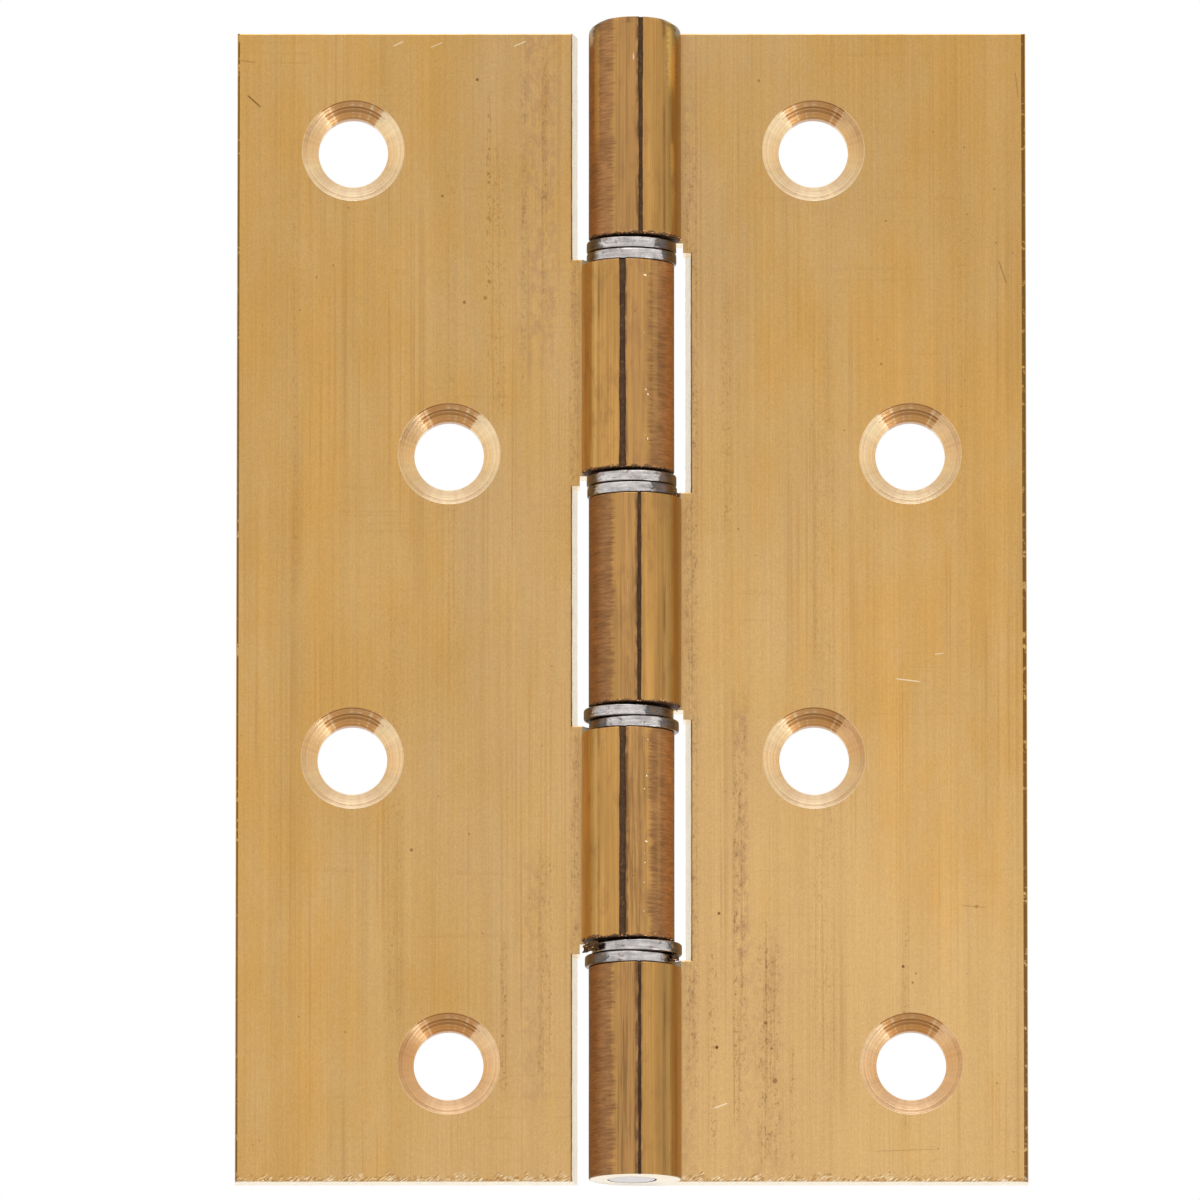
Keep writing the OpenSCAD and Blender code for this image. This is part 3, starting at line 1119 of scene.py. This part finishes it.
def grown(name, tree, values):
    """Runs a tree on an empty mesh and returns the result as a plain object."""
    empty = bpy.data.meshes.new(name)
    piece = new_piece(name, empty, [])
    modifier = piece.modifiers.new("Shape", "NODES")
    modifier.node_group = tree.tree
    for label, value in values.items():
        modifier[tree.keys[label]] = value
    made = evaluated_mesh(piece)
    piece.modifiers.clear()
    piece.data = made
    bpy.data.meshes.remove(empty)
    return piece


def washer_tree():
    """A ring with rounded edges and a slightly uneven rim."""
    tree = Tree(
        "Stamped washer",
        ("Bore", "Float", 2.5 * MM),
        ("Rim", "Float", 3.9 * MM),
        ("Thickness", "Float", 0.9 * MM),
        ("Edge", "Float", 0.1 * MM),
        ("Place", "Vector", None),
        ("Seed", "Float", 0.0),
        ("Material", "Material", None),
    )
    middle = (tree["Bore"] + tree["Rim"]) * 0.5
    path = tree.term("GeometryNodeCurvePrimitiveCircle", {"Resolution": 128, "Radius": middle})
    box = {"Width": tree["Rim"] - tree["Bore"], "Height": tree["Thickness"]}
    section = tree.term("GeometryNodeCurvePrimitiveQuadrilateral", box)
    rounding = {"Curve": section, "Radius": tree["Edge"], "Count": 4}
    rounded = tree.term("GeometryNodeFilletCurve", rounding, mode="POLY")
    ring = tree.term("GeometryNodeCurveToMesh", {"Curve": path, "Profile Curve": rounded})
    place = tree.term("GeometryNodeInputPosition")
    ripple = {"Vector": place, "W": tree["Seed"], "Scale": 260.0, "Detail": 2.0}
    ripple = tree.term("ShaderNodeTexNoise", ripple, noise_dimensions="4D")
    x, y, _ = tree.split(place)
    outwards = tree.vector("NORMALIZE", tree.joined(x, y, 0.0))
    uneven = tree.moved(ring, tree.scaled(outwards, (ripple - 1.0) * (0.06 * MM)))
    return tree.close(tree.shifted(uneven, tree["Place"]))


def crumb_tree(name, round_pin):
    """Small torn crumbs of metal scattered along a line, or along an arc round the pin."""
    if round_pin:
        path_inputs = [
            ("Centre", "Vector", None),
            ("Radius", "Float", 3.9 * MM),
            ("From", "Float", 0.0),
            ("Sweep", "Float", 1.0),
        ]
    else:
        path_inputs = [("Start", "Vector", None), ("End", "Vector", None)]
    tree = Tree(
        name,
        *path_inputs,
        ("Count", "Int", 60),
        ("Size", "Vector", (0.1 * MM, 0.05 * MM, 0.05 * MM)),
        ("Stray", "Vector", (0.0, 0.0, 0.0)),
        ("Turn", "Float", 0.6),
        ("Seed", "Int", 1),
        ("Material", "Material", None),
    )
    if round_pin:
        arc = {"Radius": tree["Radius"], "Start Angle": tree["From"], "Sweep Angle": tree["Sweep"]}
        arc["Resolution"] = 64
        path = tree.shifted(tree.term("GeometryNodeCurveArc", arc, mode="RADIUS"), tree["Centre"])
    else:
        path = tree.term("GeometryNodeCurvePrimitiveLine", {"Start": tree["Start"], "End": tree["End"]})
    spots = tree.term("GeometryNodeCurveToPoints", {"Curve": path, "Count": tree["Count"]}, mode="COUNT")
    ones = (1.0, 1.0, 1.0)

    def randomly(low, extra):
        """A random vector for each crumb, from low to ones."""
        inputs = {0: low, 1: ones, "Seed": tree["Seed"] + extra}
        return tree.term("FunctionNodeRandomValue", inputs, data_type="FLOAT_VECTOR")

    strewn = tree.moved(spots, tree.vector("MULTIPLY", randomly((-1.0, -1.0, -1.0), 1), tree["Stray"]))
    lumps = tree.term("ShaderNodeTexNoise", {"Scale": 1.4, "Detail": 1.0}, "Color")
    push = tree.vector("MULTIPLY_ADD", lumps, (1.3, 1.3, 1.3), (-0.65, -0.65, -0.65))
    crumb = tree.moved(tree.term("GeometryNodeMeshIcoSphere", {"Radius": 1.0, "Subdivisions": 2}), push)
    turn = tree.scaled(randomly((-1.0, -1.0, -1.0), 2), tree["Turn"])
    copies = {
        "Points": strewn,
        "Instance": crumb,
        "Rotation": tree.term("FunctionNodeEulerToRotation", {"Euler": turn}),
        "Scale": tree.vector("MULTIPLY", randomly((0.25, 0.3, 0.3), 3), tree["Size"]),
    }
    return tree.close(tree.term("GeometryNodeInstanceOnPoints", copies))


# ---------------------------------------------------------------- stains, worn places, dirt and painted light

# Stained columns are (x, half width, low, high, strength), spots (x, z, radius, strength) and
# scratches (start, end, half width, strength), all in millimetres on the faces.
# In each leaf's table, low_light is painted light: the factor by which a face's colour is painted brighter at
# its bottom, from 0.98 at its top. pale is how much paler the face turns towards its bottom.
FRAME_WEAR_AND_LIGHT = {
    "edge": 0.36,
    "low_light": 1.18,
    "pale": 0.30,
    "bands": (
        (9.4, 0.9, -34.0, -6.0, 0.5), (11.0, 3.0, -56.0, -26.0, 0.25), (5.0, 0.8, -60.0, 59.0, 0.4),
    ),
    "columns": (
        (9.3, 0.8, -48.0, -6.0, 0.6), (8.9, 0.25, -48.0, -8.0, 0.9), (11.8, 1.3, -50.2, -28.0, 0.7),
        (11.5, 0.22, -50.0, -26.0, 0.9), (13.8, 0.3, -50.2, -38.0, 0.7), (5.2, 0.8, -50.2, 49.0, 0.6),
        (6.9, 0.5, -50.2, -28.0, 0.7), (8.2, 0.6, 4.0, 30.0, 0.5), (23.5, 0.5, -48.0, -24.0, 0.5),
        (16.5, 1.6, -46.0, 30.0, 0.3), (28.5, 0.6, 0.0, 40.0, 0.3),
    ),
    "spots": (
        (7.5, -27.0, 0.16, 0.9), (7.3, -38.6, 0.20, 0.95), (12.3, -41.5, 0.30, 0.6),
        (11.5, -36.5, 0.20, 0.7), (23.3, -31.6, 0.17, 0.9), (29.6, -26.4, 0.18, 0.5),
        (11.0, 45.6, 0.16, 0.5), (21.5, 20.8, 0.15, 0.5), (24.1, -33.0, 0.12, 0.7),
        (24.4, -32.2, 0.10, 0.7), (12.0, -38.7, 0.14, 0.7),
    ),
    "dark": (
        ((31.6, 30.0), (32.4, 27.6), 0.08, 0.5), ((33.1, 46.5), (33.4, 44.0), 0.07, 0.4),
        ((20.6, -47.6), (26.6, -47.4), 0.05, 0.35), ((28.2, -26.3), (30.6, -26.5), 0.06, 0.4),
    ),
    "light": (
        ((22.6, -6.6), (25.0, -6.9), 0.07, 0.7), ((26.0, -4.5), (26.9, -4.4), 0.07, 0.5),
        ((7.0, -43.9), (8.3, -43.4), 0.08, 0.8),
    ),
}
DOOR_WEAR_AND_LIGHT = {
    "edge": 0.20,
    "low_light": 1.05,
    "pale": 0.08,
    "bands": (
        (-8.0, 2.4, 18.0, 55.0, 0.45), (-4.9, 0.6, -60.0, 59.0, 0.35), (-8.4, 1.6, -46.0, -20.0, 0.3),
    ),
    "columns": (
        (-9.3, 0.3, 16.0, 48.0, 0.7), (-7.5, 0.35, 24.0, 49.8, 0.7), (-12.3, 0.3, 20.0, 46.5, 0.9),
        (-11.5, 1.0, 14.0, 42.0, 0.5), (-15.4, 0.9, -10.0, 44.0, 0.3), (-11.0, 0.5, -44.0, -28.0, 0.7),
        (-7.4, 1.0, -44.0, -20.0, 0.6), (-4.9, 0.6, -50.2, 49.8, 0.5), (-29.0, 0.3, -4.0, 40.0, 0.4),
        (-20.4, 1.2, -44.0, 4.0, 0.3),
    ),
    "spots": (
        (-13.3, 45.7, 0.17, 0.85), (-16.3, 35.5, 0.17, 0.6), (-14.4, 26.2, 0.18, 0.7),
        (-12.6, 26.6, 0.22, 0.5), (-12.3, 36.7, 0.16, 0.5), (-20.0, -12.0, 0.16, 0.5),
        (-18.9, -21.5, 0.18, 0.7),
    ),
    "dark": (
        ((-33.2, 44.4), (-31.9, 43.2), 0.10, 0.8), ((-33.8, 47.4), (-32.4, 47.2), 0.08, 0.4),
    ),
    "light": (
        ((-20.6, 48.6), (-19.6, 49.1), 0.07, 0.6), ((-17.4, 48.5), (-16.2, 49.0), 0.06, 0.5),
        ((-10.2, 48.6), (-9.0, 49.1), 0.07, 0.6),
    ),
}

# Worn places and painted highlights on a knuckle: (middle and half width round the barrel, low, high,
# strength, shade). The frame's first four rows are painted highlights: three on the top knuckle's worn,
# rounded top corners and one along its far side.
FRAME_RUBS_AND_HIGHLIGHTS = (
    (3.7, 0.75, 43.0, 50.3, 0.9, "gilt"),
    (4.6, 0.5, 48.6, 50.3, 0.8, "pale"),
    (-5.0, 0.8, 47.8, 50.3, 0.8, "pale"),
    (-3.9, 0.55, 37.0, 49.5, 0.45, "gilt"),
    (3.76, 0.35, 36.0, 39.4, 0.5, "gilt"),
    (2.72, 0.30, 48.2, 50.3, 0.5, "dark"),
    (-0.55, 0.30, 49.6, 50.3, 0.4, "dark"),
    (-0.12, 0.09, 46.4, 46.9, 0.6, "pale"),
)
DOOR_RUBS = (
    (-2.5, 0.4, 12.0, 29.0, 0.15, "gilt"),
    (-2.9, 0.3, -29.0, -12.0, 0.15, "gilt"),
)

# Swarf stuck to a washer: (node, start and sweep in degrees, height on it, count, size, how far it strays
# along the pin, kind).
SWARF = (
    ("washer_4_upper", -172.0, 34.0, 0.55, 40, 0.26, 0.28, "dirt"),
    ("washer_4_upper", -170.0, 30.0, 0.60, 26, 0.11, 0.28, "gilt"),
    ("washer_4_lower", -30.0, 18.0, 0.60, 12, 0.20, 0.28, "dirt"),
    ("washer_4_lower", -28.0, 14.0, 0.50, 4, 0.10, 0.05, "copper"),
    ("washer_2_lower", -14.0, 4.0, 0.20, 5, 0.24, 0.05, "dirt"),
    ("washer_2_lower", -14.0, 4.0, 0.20, 3, 0.14, 0.05, "copper"),
    ("washer_3_upper", -28.0, 10.0, 0.70, 6, 0.10, 0.05, "gilt"),
)

# The part of each washer's rim that carries a painted highlight, in millimetres round the rim from the front;
# the rest is painted darker as shade.
WASHER_HIGHLIGHTS = (
    (-4.0, 3.2), (-3.1, 2.4), (-4.0, 1.9), (-3.4, 2.6), (-2.4, 2.8), (-4.0, 1.5), (-2.4, 3.5), (-4.4, 3.8),
)


# ---------------------------------------------------------------- operators


def leaf_materials(side, wear_and_light, rubs_and_highlights):
    """The five finishes of a leaf, in the order of its material slots."""
    finish = bpy.context.scene.hinge_finish
    shift = bpy.context.scene.hinge_sizes.knuckle_shift / MM
    rims = [high for _, high in gap_spans()[0 if side > 0 else 1 :: 2]]
    word = "frame" if side > 0 else "door"
    seed = 1.0 if side > 0 else 21.0
    return [
        drawn_brass(f"drawn_brass_{word}", finish, seed, wear_and_light),
        cut_brass(f"cut_brass_{word}", finish),
        turned_brass(f"turned_brass_{word}", finish),
        rolled_brass(f"rolled_brass_{word}", finish, side, shift, seed, rims, rubs_and_highlights),
        grimed_metal(f"grimed_brass_{word}", finish),
    ]


class HINGE_OT_frame_leaf(bpy.types.Operator):
    """Builds the leaf that is screwed to the door frame, with three knuckles"""

    bl_idname = "hinge.frame_leaf"
    bl_label = "Frame leaf"

    def execute(self, context):
        leaf = build_leaf("frame_leaf_brass", 1, leaf_materials(1, FRAME_WEAR_AND_LIGHT, FRAME_RUBS_AND_HIGHLIGHTS))
        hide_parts("frame_leaf")
        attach(leaf, FRAME_BODY)
        return {"FINISHED"}


class HINGE_OT_door_leaf(bpy.types.Operator):
    """Builds the leaf that is screwed to the door, with two knuckles"""

    bl_idname = "hinge.door_leaf"
    bl_label = "Door leaf"

    def execute(self, context):
        leaf = build_leaf("door_leaf_brass", -1, leaf_materials(-1, DOOR_WEAR_AND_LIGHT, DOOR_RUBS))
        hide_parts("door_leaf")
        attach(leaf, DOOR_BODY)
        return {"FINISHED"}


class HINGE_OT_pin(bpy.types.Operator):
    """Builds the pin with its chamfered, sheared ends"""

    bl_idname = "hinge.pin"
    bl_label = "Pin"

    def execute(self, context):
        radius = PIN_HIGH.x
        half = PIN_HIGH.z
        chamfer = 0.12 * MM
        profile = [
            (0.3 * radius, half - 0.02 * MM),
            (0.8 * radius, half - 0.01 * MM),
            (radius - chamfer, half),
            (radius - 0.3 * chamfer, half - 0.3 * chamfer),
            (radius, half - chamfer),
        ]
        profile += [(r, -z) for r, z in reversed(profile)]
        built = bmesh.new()
        rings = [ring_of(built, [(x, y, z) for x, y in ring_points(0, 0, r, 72)]) for r, z in profile]
        for lower, upper in zip(rings, rings[1:]):
            bridge(built, lower, upper, 0)
        built.faces.new(rings[0])
        built.faces.new(rings[-1])
        mesh = mesh_from("pin", built)
        shade(mesh, 30)
        pin = new_piece("pin_steel", mesh, [pin_steel("pin_steel", context.scene.hinge_finish)])
        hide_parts("hinge_pin")
        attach(pin, FRAME_BODY)
        return {"FINISHED"}


class HINGE_OT_washers(bpy.types.Operator):
    """Builds the pair of steel washers in each gap"""

    bl_idname = "hinge.washers"
    bl_label = "Washers"

    def execute(self, context):
        material = washer_steel("washer_steel", context.scene.hinge_finish)
        tree = washer_tree()
        for number, node in enumerate(WASHERS):
            low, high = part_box(node)
            values = {
                "Bore": PIN_HIGH.x + 0.5 * MM,
                "Rim": (high.x - low.x) / 2,
                "Thickness": high.z - low.z,
                "Edge": context.scene.hinge_sizes.washer_edge,
                "Place": (low + high) / 2,
                "Seed": float(number),
                "Material": material,
            }
            ring = grown(node + "_ring", tree, values)
            shade(ring.data, 35)
            store_highlight_zone(ring.data, *WASHER_HIGHLIGHTS[number])
            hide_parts(node)
            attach(ring, node)
        return {"FINISHED"}


def grains(material, count, size, stray, turn, seed):
    """What a scatter is made of, with its sizes in millimetres."""
    return {
        "Count": count,
        "Size": Vector(size) * MM,
        "Stray": Vector(stray) * MM,
        "Turn": turn,
        "Seed": seed,
        "Material": material,
    }


def crumbs(name, tree, path, made_of, body, slot):
    """One scatter of crumbs that rides on a body."""
    piece = grown(name, tree, {**path, **made_of})
    shade(piece.data, 60)
    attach(piece, body)


def arc_round_pin(centre, radius, start, sweep):
    """The path inputs of an arc, with its place and radius in metres and its angles in degrees."""
    return {"Centre": centre, "Radius": radius, "From": math.radians(start), "Sweep": math.radians(sweep)}


class HINGE_OT_burrs(bpy.types.Operator):
    """Scatters saw burrs along the bottom edges, nicks on the knuckles and swarf on the washers"""

    bl_idname = "hinge.burrs"
    bl_label = "Burrs and swarf"

    def execute(self, context):
        finish = context.scene.hinge_finish
        bright = bright_metal("bright_brass", finish.cut)
        copper = bright_metal("torn_copper", finish.copper)
        gilt = bright_metal("brass_filings", finish.gilt)
        dirt = grimed_metal("rim_dirt", finish)
        line = crumb_tree("Crumbs along an edge", False)
        ring = crumb_tree("Crumbs round the pin", True)
        for name, body, side in (("frame", FRAME_BODY, 1), ("door", DOOR_BODY, -1)):
            plan = LeafPlan(side)
            slot = f"{name}_leaf_brass"
            edge = ((plan.front + 0.05) * MM, (plan.low + 0.15) * MM)
            sawn = {
                "Start": Vector((side * 5.6 * MM, *edge)),
                "End": Vector((side * (plan.width - 0.4) * MM, *edge)),
            }
            burrs = grains(bright, 130, (0.16, 0.05, 0.06), (0.25, 0.01, 0.03), 0.7, 3 + side)
            crumbs(f"{name}_burrs", line, sawn, burrs, body, slot)
            for i in plan.own:
                bottom, top = plan.knuckle(i)
                if i < GAPS:
                    centre = Vector((side * plan.shift, 0, bottom + 0.03)) * MM
                    rim = arc_round_pin(centre, (plan.radius - 0.09) * MM, -172, 164)
                    stray = (0.06, 0.02, 0.05)
                    dust = grains(dirt, 90, (0.13, 0.05, 0.08), stray, 0.5, 31 + i)
                    crumbs(f"{name}_rim_dirt_{i}", ring, rim, dust, body, slot)
                    torn = grains(copper, 34, (0.12, 0.05, 0.05), stray, 0.5, 41 + i)
                    crumbs(f"{name}_rim_burrs_{i}", ring, rim, torn, body, slot)
                if side < 0:
                    turn = -0.36
                    x = -(plan.shift + (plan.radius - 0.02) * math.sin(turn))
                    y = -(plan.radius - 0.02) * math.cos(turn)
                    ridge = {
                        "Start": Vector((x, y, bottom + 0.4)) * MM,
                        "End": Vector((x, y, top - 0.4)) * MM,
                    }
                    nicks = grains(bright, 14, (0.12, 0.035, 0.10), (0.30, 0.0, 0.9), 0.3, 11 + i)
                    crumbs(f"door_knuckle_nicks_{i}", line, ridge, nicks, body, slot)
        kinds = {"dirt": dirt, "gilt": gilt, "copper": copper}
        for number, (node, start, sweep, lift, count, size, along, kind) in enumerate(SWARF):
            low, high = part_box(node)
            centre = Vector((0, 0, low.z + lift * (high.z - low.z)))
            rim = arc_round_pin(centre, 4.02 * MM, start, sweep)
            swarf = grains(kinds[kind], count, (size, size, size), (0.10, 0.10, along), 1.5, 61 + number)
            crumbs(f"swarf_{number + 1}", ring, rim, swarf, node, "washer_steel")
        return {"FINISHED"}


def world_light(scene):
    """White to the camera and behind the hinge, with darker walls to both sides for the metal to show."""
    world = bpy.data.worlds.new("studio")
    scene.world = world
    world.use_nodes = True
    w = Nodes(world.node_tree)
    w.tree.nodes.clear()

    def white(strength):
        return w.term("ShaderNodeBackground", {0: (1, 1, 1, 1), 1: strength})

    _, y, z = w.split(w.term("ShaderNodeTexCoord", output="Generated"))
    front = w.ramp(y, 0.0, 0.4, 1.0, 0.0)
    behind = w.ramp(y, 0.78, 0.93)
    above = w.ramp(z, 0.5, 0.85)
    below = w.ramp(z, -0.10, -0.28, 0.0, 0.9)
    walls = w.math("MULTIPLY_ADD", w.most(w.most(front, behind), w.most(above, below)), 0.72, 0.28)
    mirrored = white(w.math("MULTIPLY_ADD", above, 0.25, walls))
    paths = w.node("ShaderNodeLightPath")
    unseen = w.term("ShaderNodeMixShader", {0: w.mirrored_rays(paths), 1: white(0.5), 2: mirrored})
    seen = w.term("ShaderNodeMixShader", {0: w.out(paths, "Is Camera Ray"), 1: unseen, 2: white(1.0)})
    w.node("ShaderNodeOutputWorld", {0: seen})


# The lamps: (name, place in metres, size in metres, power in watts).
LAMPS = (
    ("top_light", (0.0, -0.15, 0.9), 0.7, 2.3),
    ("low_light", (0.34, -0.20, -0.385), 0.14, 0.24),
)

# What the camera looks at, in millimetres.
AIM = (-2.71, 1.5, 0.23)

FLOOR_RADIUS = 1.2


def area_light(name, place, size, power):
    """A soft square lamp that faces the hinge."""
    data = bpy.data.lights.new(name, "AREA")
    data.size = size
    data.energy = power
    lamp = bpy.data.objects.new(name, data)
    lamp.visible_camera = False
    lamp.location = place
    lamp.rotation_euler = (-Vector(place)).to_track_quat("-Z", "Y").to_euler()
    bpy.context.scene.collection.objects.link(lamp)


def floor_material():
    """Pale and matt, running out to the white of the backdrop."""
    s = Shading("pale_floor")
    matt = {"Base Color": (0.88, 0.88, 0.88, 1), "Roughness": 0.9, "Specular IOR Level": 0.1}
    s.fill(s.shader, matt)
    mirrored = s.mirrored_rays(s.node("ShaderNodeLightPath")) * 0.6
    white = s.most(s.ramp(s.far(s.x, s.y), 700.0, 1150.0), mirrored)
    blend = {0: white, 1: s.out(s.shader), 2: s.term("ShaderNodeEmission")}
    s.put(s.output.inputs[0], s.term("ShaderNodeMixShader", blend))
    return s.material


class HINGE_OT_stage(bpy.types.Operator):
    """Sets up the floor, the soft light and the camera"""

    bl_idname = "hinge.stage"
    bl_label = "Stage"

    def execute(self, context):
        scene = context.scene
        stage = scene.hinge_stage
        scene.view_settings.view_transform = "Standard"
        world_light(scene)
        built = bmesh.new()
        bmesh.ops.create_circle(built, cap_ends=True, segments=96, radius=FLOOR_RADIUS)
        floor = new_piece("floor", mesh_from("floor", built), [floor_material()])
        for vertex in floor.data.vertices:
            vertex.co.z = -stage.floor_drop
        for lamp in LAMPS:
            area_light(*lamp)
        data = bpy.data.cameras.new("camera")
        data.sensor_width = 36.0
        data.lens = data.sensor_width * stage.distance / stage.framed_width
        data.clip_end = 20.0
        camera = bpy.data.objects.new("camera", data)
        aim = Vector(AIM) * MM
        back = Vector((0.0, -math.cos(stage.elevation), math.sin(stage.elevation)))
        camera.location = aim + back * stage.distance
        camera.rotation_euler = (-back).to_track_quat("-Z", "Y").to_euler()
        scene.collection.objects.link(camera)
        scene.camera = camera
        return {"FINISHED"}


class HINGE_PT_panel(bpy.types.Panel):
    """The hinge's sizes, finishes and pieces"""

    bl_label = "Washered butt hinge"
    bl_idname = "HINGE_PT_panel"
    bl_space_type = "VIEW_3D"
    bl_region_type = "UI"
    bl_category = "Hinge"

    def draw(self, context):
        layout = self.layout
        for group in (context.scene.hinge_sizes, context.scene.hinge_finish, context.scene.hinge_stage):
            box = layout.box()
            for key in group.__annotations__:
                box.prop(group, key)
        for operator in PIECES:
            layout.operator(operator.bl_idname)


PIECES = (
    HINGE_OT_stage,
    HINGE_OT_frame_leaf,
    HINGE_OT_door_leaf,
    HINGE_OT_pin,
    HINGE_OT_washers,
    HINGE_OT_burrs,
)
CLASSES = (HingeSizes, HingeFinish, HingeStage, *PIECES, HINGE_PT_panel)


def register():
    for made in CLASSES:
        bpy.utils.register_class(made)
    bpy.types.Scene.hinge_sizes = bpy.props.PointerProperty(type=HingeSizes)
    bpy.types.Scene.hinge_finish = bpy.props.PointerProperty(type=HingeFinish)
    bpy.types.Scene.hinge_stage = bpy.props.PointerProperty(type=HingeStage)


def unregister():
    del bpy.types.Scene.hinge_stage
    del bpy.types.Scene.hinge_finish
    del bpy.types.Scene.hinge_sizes
    for made in reversed(CLASSES):
        bpy.utils.unregister_class(made)


def main():
    register()
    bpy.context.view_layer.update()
    bpy.ops.hinge.stage()
    bpy.ops.hinge.frame_leaf()
    bpy.ops.hinge.door_leaf()
    bpy.ops.hinge.pin()
    bpy.ops.hinge.washers()
    bpy.ops.hinge.burrs()


if __name__ == "__main__":
    main()
